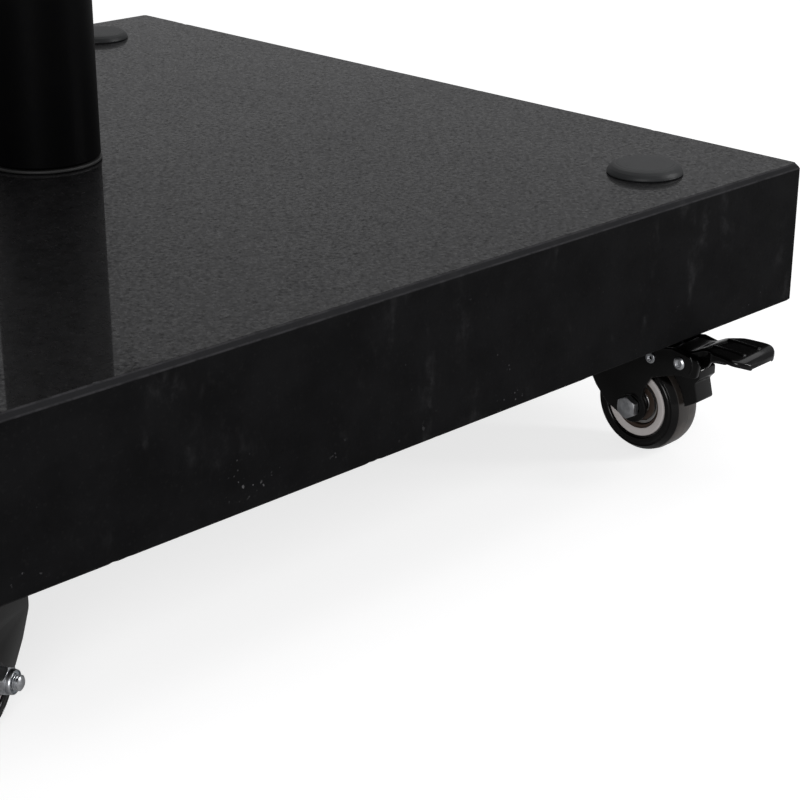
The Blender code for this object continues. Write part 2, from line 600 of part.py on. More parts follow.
def build_shoe(name, shoe, material):
    """The brake shoe: an eye on the cross rivet, an arm over the tyre and a block behind it."""
    wheel = (TRAIL - RIVET_X, AXLE_Z - RIVET_Z)
    pin = (PIVOT_X - RIVET_X, PIVOT_Z - RIVET_Z)
    clear = WHEEL_RADIUS + SHOE_GAP
    under_pin = pin[1] - PEDAL_PIN_RADIUS - 0.0012
    outline = arc((0, 0), SHOE_EYE_RADIUS, 75, 240, 5)
    outline += arc(wheel, clear, 58, 10, 6)
    back = wheel[0] + clear
    outline += [(back + 0.0072, wheel[1] + 0.0088), (back + 0.0050, wheel[1] + 0.0180),
                (back + 0.0076, wheel[1] + 0.0208), (pin[0] + 0.0066, under_pin),
                (pin[0] - 0.0040, under_pin), (pin[0] - 0.0080, SHOE_EYE_RADIUS - 0.0022)]
    block = extruded(outline, -SHOE_HALF_WIDTH, SHOE_HALF_WIDTH)
    body = piece(f"{name}_brake_shoe", block, material, shoe, (0, 0, 0), LYING)
    drill = rod(CROSS_RIVET_RADIUS + PIN_GAP, -LEG_INNER, LEG_INNER)
    combine(body, tool(f"{name}_shoe_bore", drill, shoe, (0, 0, 0), LYING), "DIFFERENCE")


def build_caster(name, side_x, side_y, heading, finishes):
    """One complete caster under its corner of the slab, and the cap over it."""
    place = caster_place(side_x, side_y)
    swivel = empty(f"{name}_swivel_axis", place, heading)
    build_cap(name, place, finishes["cap"])
    build_stem(name, swivel, finishes["zinc"])
    build_ball_ring(name, swivel, finishes["zinc"])
    build_fork(name, swivel, finishes["painted"])
    build_axle(name, swivel, finishes["zinc"])
    wheel = empty(f"{name}_wheel_axis", (TRAIL, 0, AXLE_Z), parent=swivel)
    build_wheel(name, wheel, finishes["tyre"], finishes["rim"], finishes["zinc"])
    pedal = empty(f"{name}_pedal_axis", (PIVOT_X, 0, PIVOT_Z), parent=swivel)
    build_pedal(name, pedal, finishes["painted"])
    build_pedal_pin(name, swivel, finishes["zinc"])
    shoe = empty(f"{name}_shoe_axis", (RIVET_X, 0, RIVET_Z), parent=swivel)
    build_shoe(name, shoe, finishes["painted"])


def main():
    """Build the whole base."""
    clear_scene()
    finishes = {
        "granite": finish("polished_black_granite", (0.020, 0.020, 0.022), 0.20, 0.0),
        "coated": finish("black_powder_coat", (0.012, 0.012, 0.013), 0.40, 0.0),
        "painted": finish("black_fork_paint", (0.010, 0.010, 0.011), 0.25, 0.0),
        "zinc": finish("zinc_plated_steel", (0.62, 0.62, 0.64), 0.35, 1.0),
        "tyre": finish("black_polyurethane", (0.012, 0.011, 0.011), 0.30, 0.0),
        "rim": finish("white_nylon", (0.75, 0.75, 0.74), 0.45, 0.0),
        "cap": finish("grey_cap_plastic", (0.045, 0.048, 0.050), 0.45, 0.0),
        "plastic": finish("black_knob_plastic", (0.015, 0.015, 0.016), 0.50, 0.0),
        "rubber": finish("black_rubber", (0.010, 0.010, 0.010), 0.70, 0.0),
    }
    build_slab(finishes["granite"])
    build_pole_socket(finishes["coated"], finishes["plastic"], finishes["zinc"], finishes["rubber"])
    for name, (side_x, side_y, heading) in CASTERS.items():
        build_caster(name, side_x, side_y, heading, finishes)


main()
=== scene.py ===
"""Rolling parasol base: a polished granite slab on four braked casters, with a pole socket.

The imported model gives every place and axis.  This file makes the finished meshes around it, their
finishes, and the studio that they stand in.  Metres, +Z up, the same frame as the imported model.
"""

import json
import logging
import math
from collections.abc import Callable, Iterable, Sequence
from dataclasses import dataclass, field
from enum import Enum

import bmesh
import bpy
from mathutils import Matrix, Vector, noise


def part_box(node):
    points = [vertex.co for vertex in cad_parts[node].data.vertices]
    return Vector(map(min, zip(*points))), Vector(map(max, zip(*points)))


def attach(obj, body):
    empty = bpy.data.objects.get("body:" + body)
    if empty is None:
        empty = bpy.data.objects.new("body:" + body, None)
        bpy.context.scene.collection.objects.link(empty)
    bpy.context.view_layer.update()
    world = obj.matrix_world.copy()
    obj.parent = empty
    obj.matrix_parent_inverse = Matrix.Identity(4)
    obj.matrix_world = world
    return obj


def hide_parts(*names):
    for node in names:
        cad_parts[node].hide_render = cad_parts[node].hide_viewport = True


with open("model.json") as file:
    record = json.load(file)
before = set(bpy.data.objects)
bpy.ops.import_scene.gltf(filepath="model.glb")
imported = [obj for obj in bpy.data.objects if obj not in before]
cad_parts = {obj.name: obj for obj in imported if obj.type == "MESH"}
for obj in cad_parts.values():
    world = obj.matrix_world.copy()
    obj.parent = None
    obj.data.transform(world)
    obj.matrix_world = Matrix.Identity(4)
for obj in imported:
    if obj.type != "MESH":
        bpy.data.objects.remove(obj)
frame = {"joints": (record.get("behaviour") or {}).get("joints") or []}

LOG = logging.getLogger("parasol_base")

Point = tuple[float, float]
Shape = bmesh.types.BMesh
Value = "Signal | float | tuple[float, ...]"

GAP = 0.0003                 # between two faces that touch in the real assembly
LYING = Matrix.Rotation(math.pi / 2, 4, "X")     # turns a piece's Z to -Y, and its Y to Z
SIDEWAYS = Matrix.Rotation(math.pi / 2, 4, "Y")  # turns a piece's Z to +X


# =============================================================================================
# Shader maths
# =============================================================================================
class Signal:
    """One output socket of a node web, with arithmetic that adds Math nodes."""

    def __init__(self, web: "Web", socket: bpy.types.NodeSocket) -> None:
        """Wrap a socket.

        Args:
            web: the node web that the socket belongs to.
            socket: the output socket.
        """
        self.web = web
        self.socket = socket

    def _math(self, operation: str, first: Value, second: Value) -> "Signal":
        """Return a Math node's result for two operands."""
        return self.web.node("ShaderNodeMath", {"operation": operation}, {0: first, 1: second})

    def __add__(self, other: Value) -> "Signal":
        """Return self + other."""
        return self._math("ADD", self, other)

    def __radd__(self, other: Value) -> "Signal":
        """Return other + self."""
        return self._math("ADD", other, self)

    def __sub__(self, other: Value) -> "Signal":
        """Return self - other."""
        return self._math("SUBTRACT", self, other)

    def __rsub__(self, other: Value) -> "Signal":
        """Return other - self."""
        return self._math("SUBTRACT", other, self)

    def __mul__(self, other: Value) -> "Signal":
        """Return self * other."""
        return self._math("MULTIPLY", self, other)

    def __rmul__(self, other: Value) -> "Signal":
        """Return other * self."""
        return self._math("MULTIPLY", other, self)

    def __truediv__(self, other: Value) -> "Signal":
        """Return self / other."""
        return self._math("DIVIDE", self, other)

    def __abs__(self) -> "Signal":
        """Return the absolute value."""
        return self._math("ABSOLUTE", self, 0.0)

    def lowest(self, other: Value) -> "Signal":
        """Return the lower of the two."""
        return self._math("MINIMUM", self, other)

    def highest(self, other: Value) -> "Signal":
        """Return the higher of the two."""
        return self._math("MAXIMUM", self, other)

    def between(self, low: float, high: float) -> "Signal":
        """Return a smooth mask.

        Args:
            low: the value where the mask is 0.
            high: the value where the mask is 1, which may be the lower of the two.

        Returns:
            A value from 0 to 1.
        """
        if low < high:
            return self.web.node("ShaderNodeMapRange", {"interpolation_type": "SMOOTHSTEP"},
                                 {"Value": self, "From Min": low, "From Max": high})
        return 1.0 - self.between(high, low)


class Web:
    """A material's node web around its Principled shader."""

    def __init__(self, name: str) -> None:
        """Make an empty material of this name."""
        self.material = bpy.data.materials.new(name)
        self.material.use_nodes = True
        self.tree = self.material.node_tree
        self.shader = self.tree.nodes["Principled BSDF"]

    def node(self, kind: str, settings: dict[str, object] | None = None,
             inputs: dict[int | str, Value] | None = None, output: int | str = 0) -> Signal:
        """Add any node.

        Args:
            kind: the node's type.
            settings: its properties, set before its sockets; "stops" fills a colour ramp.
            inputs: values or links by the socket's number or name.
            output: the number or name of the socket to return.

        Returns:
            The chosen output.
        """
        made = self.tree.nodes.new(kind)
        for key, value in (settings or {}).items():
            if key == "stops":
                for index, (position, color) in enumerate(value):
                    stops = made.color_ramp.elements
                    stop = stops[index] if index < len(stops) else stops.new(position)
                    stop.position = position
                    stop.color = (*color, 1.0)
            else:
                setattr(made, key, value)
        for key, value in (inputs or {}).items():
            self.feed(made.inputs[key], value)
        return Signal(self, made.outputs[output])

    def feed(self, socket: bpy.types.NodeSocket, value: Value) -> None:
        """Link a signal to a socket, or set the socket's own value."""
        if isinstance(value, Signal):
            self.tree.links.new(value.socket, socket)
        elif isinstance(value, tuple) and len(value) == 3 and socket.type == "RGBA":
            socket.default_value = (*value, 1.0)
        else:
            socket.default_value = value

    def dress(self, **inputs: Value) -> bpy.types.Material:
        """Feed the Principled shader, with underscores for the spaces in its sockets' names."""
        for key, value in inputs.items():
            self.feed(self.shader.inputs[key.replace("_", " ")], value)
        return self.material

    def place(self) -> Signal:
        """Return the object coordinates, in metres."""
        return self.node("ShaderNodeTexCoord", output="Object")

    def stretched(self, scale: tuple[float, float, float]) -> Signal:
        """Return the object coordinates with each axis scaled by its own factor."""
        return self.node("ShaderNodeMapping", {"vector_type": "POINT"},
                         {"Vector": self.place(), "Scale": scale})

    def height(self) -> Signal:
        """Return the height above the floor, in metres."""
        return self.node("ShaderNodeSeparateXYZ", None, {0: self.place()}, "Z")

    def clouds(self, scale: float, detail: float = 3.0, roughness: float = 0.55,
               where: Signal | None = None, distortion: float = 0.0) -> Signal:
        """Return a noise texture from 0 to 1.

        Args:
            scale: cells to the metre.
            detail: octaves.
            roughness: how strong the finer octaves are.
            where: the coordinates, or None for the object's own.
            distortion: how far the pattern is pushed about.

        Returns:
            The noise value.
        """
        return self.node("ShaderNodeTexNoise", None,
                         {"Vector": where or self.place(), "Scale": scale, "Detail": detail,
                          "Roughness": roughness, "Distortion": distortion})

    def grains(self, scale: float, output: str = "Distance", feature: str = "F1") -> Signal:
        """Return a Voronoi texture of this many grains to the metre."""
        return self.node("ShaderNodeTexVoronoi", {"feature": feature},
                         {"Vector": self.place(), "Scale": scale}, output)

    def tint(self, share: Value, first: Value, second: Value) -> Signal:
        """Return a mix of two colours."""
        return self.node("ShaderNodeMix", {"data_type": "RGBA"}, {0: share, 6: first, 7: second}, 2)

    def relief(self, height: Signal, depth: float, strength: float = 1.0) -> Signal:
        """Return a normal bent by a height map that is this deep, in metres."""
        return self.node("ShaderNodeBump", None,
                         {"Height": height, "Distance": depth, "Strength": strength})


# =============================================================================================
# Finishes
# =============================================================================================
class Slot(Enum):
    """The record's material slots."""

    GRANITE = "granite"
    TUBE = "tube_coating"
    FORK = "fork_paint"
    ZINC = "zinc"
    TYRE = "tyre"
    RIM = "rim"
    CAP = "cap_plastic"
    PLASTIC = "black_plastic"
    RING = "foot_ring"


@dataclass(frozen=True)
class PolishedGranite:
    """Black granite: a mirror-polished top, honed sides and fine grains throughout."""

    name: str = "polished_black_granite"
    top: float = 0.138
    base: float = 0.068
    chamfer: float = 0.0024
    body: tuple[float, float, float] = (0.0045, 0.0043, 0.0044)
    honed: tuple[float, float, float] = (0.0060, 0.0060, 0.0065)
    feldspar: tuple[float, float, float] = (0.030, 0.029, 0.029)
    chalk: tuple[float, float, float] = (0.110, 0.108, 0.112)
    # colour of the painted highlight along the chamfer's arrises
    arris_highlight: tuple[float, float, float] = (0.042, 0.041, 0.044)
    dark_patch: tuple[float, float, float] = (0.0012, 0.0012, 0.0014)
    ground_edge: tuple[float, float, float] = (0.024, 0.024, 0.026)
    honed_roughness: tuple[float, float, float] = (0.62, 0.62, 0.62)
    top_roughness: tuple[float, float, float] = (0.34, 0.34, 0.34)

    def make(self) -> bpy.types.Material:
        """Return the material."""
        web = Web(self.name)
        height = web.height()
        polished = height.between(self.top - 0.00030, self.top - 0.00010)
        fine = web.clouds(1250.0, 2.0)
        medium = web.clouds(520.0, 3.0, 0.65)
        fleck = web.grains(900.0, "Color")
        fleck = web.node("ShaderNodeSeparateColor", None, {0: fleck}, "Red").between(0.86, 0.97)
        pits = (1.0 - medium.between(0.30, 0.42)).highest(1.0 - fine.between(0.26, 0.36))
        broad = web.clouds(9.0, 4.0, 0.6)
        mottled = web.clouds(38.0, 4.0, 0.65).between(0.30, 0.70)
        color = web.tint(polished, self.honed, self.body)
        color = web.tint((1.0 - mottled) * 0.55, color, self.dark_patch)
        color = web.tint(fleck * medium.between(0.40, 0.62) * (0.10 + polished * 0.45), color,
                         self.feldspar)
        color = web.tint((1.0 - polished) * self.smears(web) * 0.34, color, self.chalk)
        ground = height.between(self.top - self.chamfer - 0.0003, self.top - self.chamfer + 0.0002)
        color = web.tint(ground * (1.0 - polished) * 0.55, color, self.ground_edge)
        color = web.tint((1.0 - polished) * self.scuffs(web, height), color, self.chalk)
        # painted highlight: a pale line along the chamfer's arrises, broken up by noise
        color = web.tint(self.painted_arris_highlight(web, height) * 0.75, color, self.arris_highlight)
        matt = web.tint(polished, self.honed_roughness, self.top_roughness)
        matt = web.node("ShaderNodeSeparateColor", None, {0: matt}, "Red")
        roughness = matt + (broad - 0.5) * 0.12 + pits * 0.10
        speckle = (medium - 0.5) * 2.1 + (fine - 0.5) * 1.5
        mirror = (0.44 + broad * 0.28 + speckle * 0.86).highest(0.06)
        gloss = polished * (1.0 - pits * 0.35) * mirror
        uneven = fine * 0.35 + medium * 0.65 + pits * -0.6
        return web.dress(
            Base_Color=color, Roughness=roughness, Coat_Weight=gloss.lowest(1.0),
            Coat_Roughness=0.035, Specular_IOR_Level=0.05,
            Normal=web.relief(uneven, 0.00007, 0.45))

    def smears(self, web: Web) -> Signal:
        """Return the faint upright wash marks of the sawn sides.

        Args:
            web: the granite's node web.

        Returns:
            A mask from 0 to 1.
        """
        upright = web.clouds(1.0, 4.0, 0.6, web.stretched((52.0, 52.0, 19.0)))
        return upright.between(0.55, 0.80) * web.clouds(70.0, 5.0, 0.7).between(0.42, 0.75)

    def scuffs(self, web: Web, height: Signal) -> Signal:
        """Return the small chalky chips, thickest in the lower half of the sides.

        Args:
            web: the granite's node web.
            height: the height above the floor.

        Returns:
            A mask from 0 to 1.
        """
        low = height.between(self.top - 0.020, self.base + 0.004)
        patch = web.clouds(13.0, 2.0).between(0.60, 0.70)
        chip = web.clouds(260.0, 3.0, 0.6, distortion=0.6).between(0.675, 0.72)
        grit = web.grains(330.0).between(0.16, 0.08) * web.clouds(30.0, 2.0).between(0.60, 0.70)
        row = 1.0 - abs(height - (self.base + 0.013)).between(0.003, 0.009)
        knock = web.clouds(430.0, 2.0, 0.5).between(0.645, 0.69)
        knock = knock * web.clouds(24.0, 2.0).between(0.57, 0.63)
        marks = (chip * patch * (0.25 + low * 0.75)).highest(grit * low * 0.8)
        return marks.highest(knock * row * 0.8)

    def painted_arris_highlight(self, web: Web, height: Signal) -> Signal:
        """Return a painted highlight: a pale line where the chamfer meets the polished top and the
        sides.

        Args:
            web: the granite's node web.
            height: the height above the floor.

        Returns:
            A mask from 0 to 1.
        """
        upper = 1.0 - abs(height - (self.top - 0.00035)).between(0.00010, 0.00045)
        lower = 1.0 - abs(height - (self.top - self.chamfer)).between(0.00015, 0.00055)
        broken = web.clouds(160.0, 4.0, 0.7).between(0.36, 0.60)
        return upper.highest(lower * 0.9) * (0.35 + broken * 0.65)


@dataclass(frozen=True)
class Coating:
    """A coat of paint or powder on metal: orange peel, dust and rubbed patches."""

    name: str
    color: tuple[float, float, float]
    roughness: float
    peel: float = 900.0
    peel_depth: float = 0.00003
    dust: tuple[float, float, float] = (0.060, 0.050, 0.042)
    dust_share: float = 0.10
    coat: float = 0.0
    specular: float = 0.5

    def make(self) -> bpy.types.Material:
        """Return the material."""
        web = Web(self.name)
        peel = web.clouds(self.peel, 2.0, 0.5)
        broad = web.clouds(85.0, 5.0, 0.65)
        speck = web.clouds(1700.0, 2.0).between(0.66, 0.74)
        rubbed = web.clouds(36.0, 4.0, 0.6).between(0.50, 0.74)
        dirt = (rubbed * self.dust_share + speck * self.dust_share * 0.8).lowest(1.0)
        color = web.tint(dirt, self.color, self.dust)
        rough = self.roughness + (broad - 0.5) * 0.16 + dirt * 0.30
        return web.dress(Base_Color=color, Roughness=rough.highest(0.05),
                         Coat_Weight=self.coat * (1.0 - dirt * 0.6), Coat_Roughness=0.10,
                         Specular_IOR_Level=self.specular,
                         Normal=web.relief(peel + speck * 0.35, self.peel_depth, 0.5))


@dataclass(frozen=True)
class Plating:
    """Zinc plate on steel: a cool crystalline sheen with fine scratches and dull patches."""

    name: str
    color: tuple[float, float, float]
    shade: tuple[float, float, float]
    roughness: float

    def make(self) -> bpy.types.Material:
        """Return the material."""
        web = Web(self.name)
        patch = web.clouds(210.0, 5.0, 0.65)
        crystal = web.grains(1500.0)
        scratch = web.clouds(1.0, 2.0, 0.5, web.stretched((260.0, 260.0, 5200.0)))
        color = web.tint(patch.between(0.35, 0.70), self.shade, self.color)
        rough = self.roughness + patch * 0.16 + scratch.between(0.5, 0.8) * 0.10
        return web.dress(Base_Color=color, Metallic=1.0, Roughness=rough,
                         Normal=web.relief(crystal * 0.3 + scratch * 0.7, 0.00002, 0.4))


@dataclass(frozen=True)
class Moulding:
    """Moulded plastic or rubber: a fine spark-eroded grain and soft handling marks."""

    name: str
    color: tuple[float, float, float]
    mark: tuple[float, float, float]
    roughness: float
    grain: float = 1600.0
    grain_depth: float = 0.00004
    marks: float = 0.35
    coat: float = 0.0
    specular: float = 0.5

    def make(self) -> bpy.types.Material:
        """Return the material."""
        web = Web(self.name)
        grain = web.grains(self.grain)
        broad = web.clouds(60.0, 5.0, 0.6)
        handled = broad.between(0.48, 0.72)
        spot = web.clouds(520.0, 3.0, 0.6).between(0.62, 0.70)
        color = web.tint((handled * self.marks + spot * self.marks * 0.5).lowest(1.0),
                         self.color, self.mark)
        rough = self.roughness + (broad - 0.5) * 0.14 + spot * 0.08
        return web.dress(Base_Color=color, Roughness=rough.highest(0.06),
                         Coat_Weight=self.coat * (1.0 - handled * 0.5), Coat_Roughness=0.12,
                         Specular_IOR_Level=self.specular,
                         Normal=web.relief(grain + broad * 0.4, self.grain_depth, 0.45))


@dataclass(frozen=True)
class StudioFloor:
    """A pale painted floor, which glows more to the camera than to the pieces on it."""

    name: str = "pale_studio_floor"
    color: tuple[float, float, float] = (0.45, 0.45, 0.45)
    shade: tuple[float, float, float] = (0.43, 0.43, 0.435)
    glow: float = 0.74
    glow_on_pieces: tuple[float, float, float] = (0.10, 0.10, 0.10)
    glow_seen: tuple[float, float, float] = (1.0, 1.0, 1.0)

    def make(self) -> bpy.types.Material:
        """Return the material."""
        web = Web(self.name)
        broad = web.clouds(1.3, 3.0, 0.5)
        seen = web.node("ShaderNodeLightPath", output="Is Camera Ray")
        return web.dress(Base_Color=web.tint(broad, self.shade, self.color), Roughness=0.85,
                         Specular_IOR_Level=0.1,
                         Emission_Color=web.tint(seen, self.glow_on_pieces, self.glow_seen),
                         Emission_Strength=self.glow)


@dataclass(frozen=True)
class Palette:
    """Every finish of the base, made once."""

    granite: bpy.types.Material
    powder: bpy.types.Material
    dip: bpy.types.Material
    zinc: bpy.types.Material
    steel: bpy.types.Material
    tyre: bpy.types.Material
    tread: bpy.types.Material
    nylon: bpy.types.Material
    insert: bpy.types.Material
    seal: bpy.types.Material
    cap: bpy.types.Material
    plastic: bpy.types.Material
    rubber: bpy.types.Material

    @classmethod
    def mixed(cls, slab_top: float, slab_base: float) -> "Palette":
        """Make the finishes.

        Args:
            slab_top: height of the slab's top face.
            slab_base: height of the slab's underside.

        Returns:
            The palette.
        """
        return cls(
            granite=PolishedGranite(top=slab_top, base=slab_base).make(),
            powder=Coating("black_powder_coat", (0.0010, 0.0010, 0.0012), 0.50, 1250.0,
                           0.00006, (0.008, 0.008, 0.008), 0.05, specular=0.05).make(),
            dip=Coating("black_dip_paint", (0.0010, 0.0009, 0.0009), 0.20, 420.0, 0.00004,
                        (0.026, 0.021, 0.018), 0.05, 0.40, 0.10).make(),
            zinc=Plating("zinc_plate", (0.66, 0.67, 0.69), (0.42, 0.43, 0.45), 0.24).make(),
            steel=Plating("bearing_steel", (0.60, 0.60, 0.60), (0.34, 0.32, 0.30), 0.20).make(),
            tyre=Moulding("black_polyurethane", (0.0014, 0.0011, 0.0010), (0.012, 0.009, 0.007),
                          0.26, 2100.0, 0.00002, 0.16, 0.38, 0.10).make(),
            # painted sheen: the tread band is a brownish grey with paler marks, standing in for the
            # floor's reflection
            tread=Moulding("painted_tread_sheen", (0.030, 0.025, 0.022), (0.120, 0.100, 0.086),
                           0.34, 900.0, 0.00004, 0.60, 0.6, 0.4).make(),
            nylon=Moulding("white_nylon", (0.64, 0.60, 0.585), (0.52, 0.47, 0.45), 0.34,
                           1900.0, 0.00002, 0.18, 0.2).make(),
            insert=Moulding("lock_nut_nylon", (0.30, 0.33, 0.36), (0.20, 0.22, 0.24), 0.4).make(),
            seal=Moulding("bearing_seal", (0.045, 0.028, 0.020), (0.080, 0.060, 0.050), 0.5).make(),
            cap=Moulding("grey_cap_plastic", (0.021, 0.022, 0.023), (0.031, 0.032, 0.034), 0.48,
                         1300.0, 0.00006, 0.40, specular=0.30).make(),
            plastic=Moulding("black_knob_plastic", (0.012, 0.012, 0.013), (0.026, 0.026, 0.027),
                             0.46, 1100.0, 0.00008, 0.30).make(),
            rubber=Moulding("black_rubber", (0.009, 0.009, 0.009), (0.024, 0.023, 0.022),
                            0.62, 800.0, 0.00006, 0.35).make(),
        )


# =============================================================================================
# Shapes
# =============================================================================================
def arc(center: Point, radius: float, start: float, end: float, steps: int) -> list[Point]:
    """Return points on an arc.

    Args:
        center: its middle.
        radius: its radius.
        start: the angle where it starts, in degrees.
        end: the angle where it ends, in degrees.
        steps: its segments.

    Returns:
        The points in order.
    """
    angles = [math.radians(start + (end - start) * step / steps) for step in range(steps + 1)]
    return [(center[0] + radius * math.cos(a), center[1] + radius * math.sin(a)) for a in angles]


def filleted(points: Sequence[Point], radius: float, steps: int = 3,
             closed: bool = True) -> list[Point]:
    """Round the corners of an outline.

    Args:
        points: the outline's corners in order.
        radius: the wanted radius, less where a side is too short for it.
        steps: segments of each rounded corner.
        closed: whether the last point joins the first; the ends of an open one stay sharp.

    Returns:
        The rounded outline.
    """
    count = len(points)
    rounded: list[Point] = []
    for index, here in enumerate(points):
        if not closed and index in (0, count - 1):
            rounded.append(here)
            continue
        corner = Vector(here)
        before = Vector(points[index - 1]) - corner
        after = Vector(points[(index + 1) % count]) - corner
        turn = math.pi - before.angle(after, math.pi)
        if turn < math.radians(12):
            rounded.append(here)
            continue
        room = 0.48 * min(before.length, after.length)
        reach = min(radius * math.tan(turn / 2), room)
        start = corner + before.normalized() * reach
        end = corner + after.normalized() * reach
        for step in range(steps + 1):
            share = step / steps
            bend = start * (1 - share) ** 2 + corner * 2 * share * (1 - share) + end * share ** 2
            rounded.append((bend.x, bend.y))
    return rounded


def cleaned(shape: Shape) -> Shape:
    """Merge a shape's doubles and point its faces outwards."""
    bmesh.ops.remove_doubles(shape, verts=shape.verts, dist=1e-6)
    bmesh.ops.recalc_face_normals(shape, faces=shape.faces)
    return shape


def revolved(profile: Sequence[Point], segments: int = 72) -> Shape:
    """Spin a profile of (radius, height) points about Z.

    Args:
        profile: the points; a profile that starts and ends on the axis stays open there.
        segments: steps round the axis.

    Returns:
        The closed shape.
    """
    shape = bmesh.new()
    corners = [shape.verts.new((radius, 0.0, height)) for radius, height in profile]
    pairs = list(zip(corners, corners[1:]))
    if profile[0][0] > 1e-9 or profile[-1][0] > 1e-9:
        pairs.append((corners[-1], corners[0]))
    edges = [shape.edges.new(pair) for pair in pairs]
    bmesh.ops.spin(shape, geom=corners + edges, cent=(0, 0, 0), axis=(0, 0, 1),
                   angle=math.tau, steps=segments, use_merge=True)
    return cleaned(shape)


def threaded(radius: float, low: float, high: float, pitch: float) -> list[Point]:
    """Draw the outer profile of a screw thread.

    Args:
        radius: the crests' radius.
        low: where the thread starts.
        high: where it ends.
        pitch: the wanted pitch, evened out so that whole turns fit.

    Returns:
        A row of ridges from low to high, as (radius, height) points.
    """
    turns = max(1, round((high - low) / pitch))
    step = (high - low) / turns
    depth = 0.45 * step
    ridges: list[Point] = []
    for turn in range(turns):
        start = low + turn * step
        ridges += [(radius - depth, start + 0.10 * step), (radius, start + 0.42 * step),
                   (radius, start + 0.58 * step), (radius - depth, start + 0.90 * step)]
    return ridges


def raised(outline: Sequence[Point], low: float, high: float) -> Shape:
    """Raise a flat outline.

    Args:
        outline: its (x, y) points in order.
        low: the height it starts from.
        high: the height it is raised to.

    Returns:
        The closed shape.
    """
    shape = bmesh.new()
    face = shape.faces.new([shape.verts.new((x, y, low)) for x, y in outline])
    lifted = bmesh.ops.extrude_face_region(shape, geom=[face])["geom"]
    top = [item for item in lifted if isinstance(item, bmesh.types.BMVert)]
    bmesh.ops.translate(shape, verts=top, vec=(0, 0, high - low))
    return cleaned(shape)


def softened(shape: Shape, width: float, segments: int = 2,
             chosen: Callable[[bmesh.types.BMEdge], bool] | None = None) -> Shape:
    """Round a shape's sharp edges.

    Args:
        shape: the shape, which is changed.
        width: the bevel's width.
        segments: its steps.
        chosen: which sharp edges, or None for all of them.

    Returns:
        The same shape.
    """
    edges = [edge for edge in shape.edges
             if edge.is_manifold and edge.calc_face_angle(0.0) > math.radians(30)
             and (chosen is None or chosen(edge))]
    bmesh.ops.bevel(shape, geom=edges, offset=width, offset_type="OFFSET", segments=segments,
                    profile=0.5, affect="EDGES", clamp_overlap=True, material=-1)
    return cleaned(shape)


def block(size: tuple[float, float, float], center: tuple[float, float, float],
          edge: float, segments: int = 3) -> Shape:
    """Make a box with rounded edges.

    Args:
        size: its length along each axis.
        center: its middle.
        edge: the width of its rounding.
        segments: steps of the rounding.

    Returns:
        The closed shape.
    """
    shape = bmesh.new()
    bmesh.ops.create_cube(shape, size=1.0)
    bmesh.ops.scale(shape, vec=size, verts=shape.verts)
    bmesh.ops.translate(shape, vec=center, verts=shape.verts)
    return softened(shape, edge, segments)


def hexagonal(across_flats: float, low: float, high: float, chamfered_high: bool = True) -> Shape:
    """A hexagonal head or nut blank with its upper corners turned off.

    Args:
        across_flats: its width.
        low: its seat's height.
        high: its top's height; the blank is turned over where that is lower.
        chamfered_high: whether the corners at its top are turned off.

    Returns:
        The shape, along Z.
    """
    flat = across_flats / 2
    shape = bmesh.new()
    bmesh.ops.create_circle(shape, cap_ends=True, segments=6, radius=flat / math.cos(math.pi / 6))
    bmesh.ops.subdivide_edges(shape, edges=shape.edges[:], cuts=5)
    direction = 1.0 if high > low else -1.0
    tall = abs(high - low)
    lifted = bmesh.ops.extrude_face_region(shape, geom=shape.faces[:])["geom"]
    ring = [item for item in lifted if isinstance(item, bmesh.types.BMVert)]
    slope = math.tan(math.radians(30))
    for vert in ring:
        over = vert.co.to_2d().length - flat * 0.97
        vert.co.z = tall - (max(0.0, over) * slope if chamfered_high else 0.0)
    if chamfered_high:
        top = [item for item in lifted if isinstance(item, bmesh.types.BMFace)]
        again = bmesh.ops.extrude_face_region(shape, geom=top)["geom"]
        for vert in (item for item in again if isinstance(item, bmesh.types.BMVert)):
            flatwise = vert.co.to_2d().normalized() * flat * 0.95
            vert.co = (flatwise.x, flatwise.y, tall)
        bmesh.ops.delete(shape, geom=top, context="FACES_ONLY")
    for vert in shape.verts:
        vert.co.z = low + direction * vert.co.z
    return cleaned(shape)


def lofted(sections: Sequence[Sequence[Vector]]) -> Shape:
    """Pull one closed section along to the next, and close both ends.

    Args:
        sections: rings with the same number of points.

    Returns:
        The closed shape.
    """
    shape = bmesh.new()
    ring = [shape.verts.new(point) for point in sections[0]]
    edges = [shape.edges.new(pair) for pair in zip(ring, ring[1:] + ring[:1])]
    shape.faces.new(ring)
    for section in sections[1:]:
        lifted = bmesh.ops.extrude_edge_only(shape, edges=edges)["geom"]
        fresh = {item for item in lifted if isinstance(item, bmesh.types.BMVert)}
        following = []
        for vert in ring:
            following.append(next(edge.other_vert(vert) for edge in vert.link_edges
                                  if edge.other_vert(vert) in fresh))
        for vert, point in zip(following, section):
            vert.co = point
        ring = following
        edges = [shape.edges.get(pair) for pair in zip(ring, ring[1:] + ring[:1])]
    shape.faces.new(ring)
    return cleaned(shape)


def smooth_between(stations: Sequence[Sequence[float]], steps: int) -> list[list[float]]:
    """Fill in rows of numbers between the given rows with a Catmull-Rom curve.

    Args:
        stations: the given rows.
        steps: how many rows each gap becomes.

    Returns:
        All the rows in order.
    """
    filled: list[list[float]] = []
    last = len(stations) - 1
    for index in range(last):
        rows = [stations[max(0, index - 1)], stations[index], stations[index + 1],
                stations[min(last, index + 2)]]
        for step in range(steps):
            t = step / steps
            row = []
            for a, b, c, d in zip(*rows):
                row.append(0.5 * (2 * b + (c - a) * t + (2 * a - 5 * b + 4 * c - d) * t ** 2
                                  + (3 * b - a - 3 * c + d) * t ** 3))
            filled.append(row)
    filled.append(list(stations[-1]))
    return filled


def moved(shape: Shape, matrix: Matrix) -> Shape:
    """Place a shape by a matrix."""
    bmesh.ops.transform(shape, matrix=matrix, verts=shape.verts)
    return shape


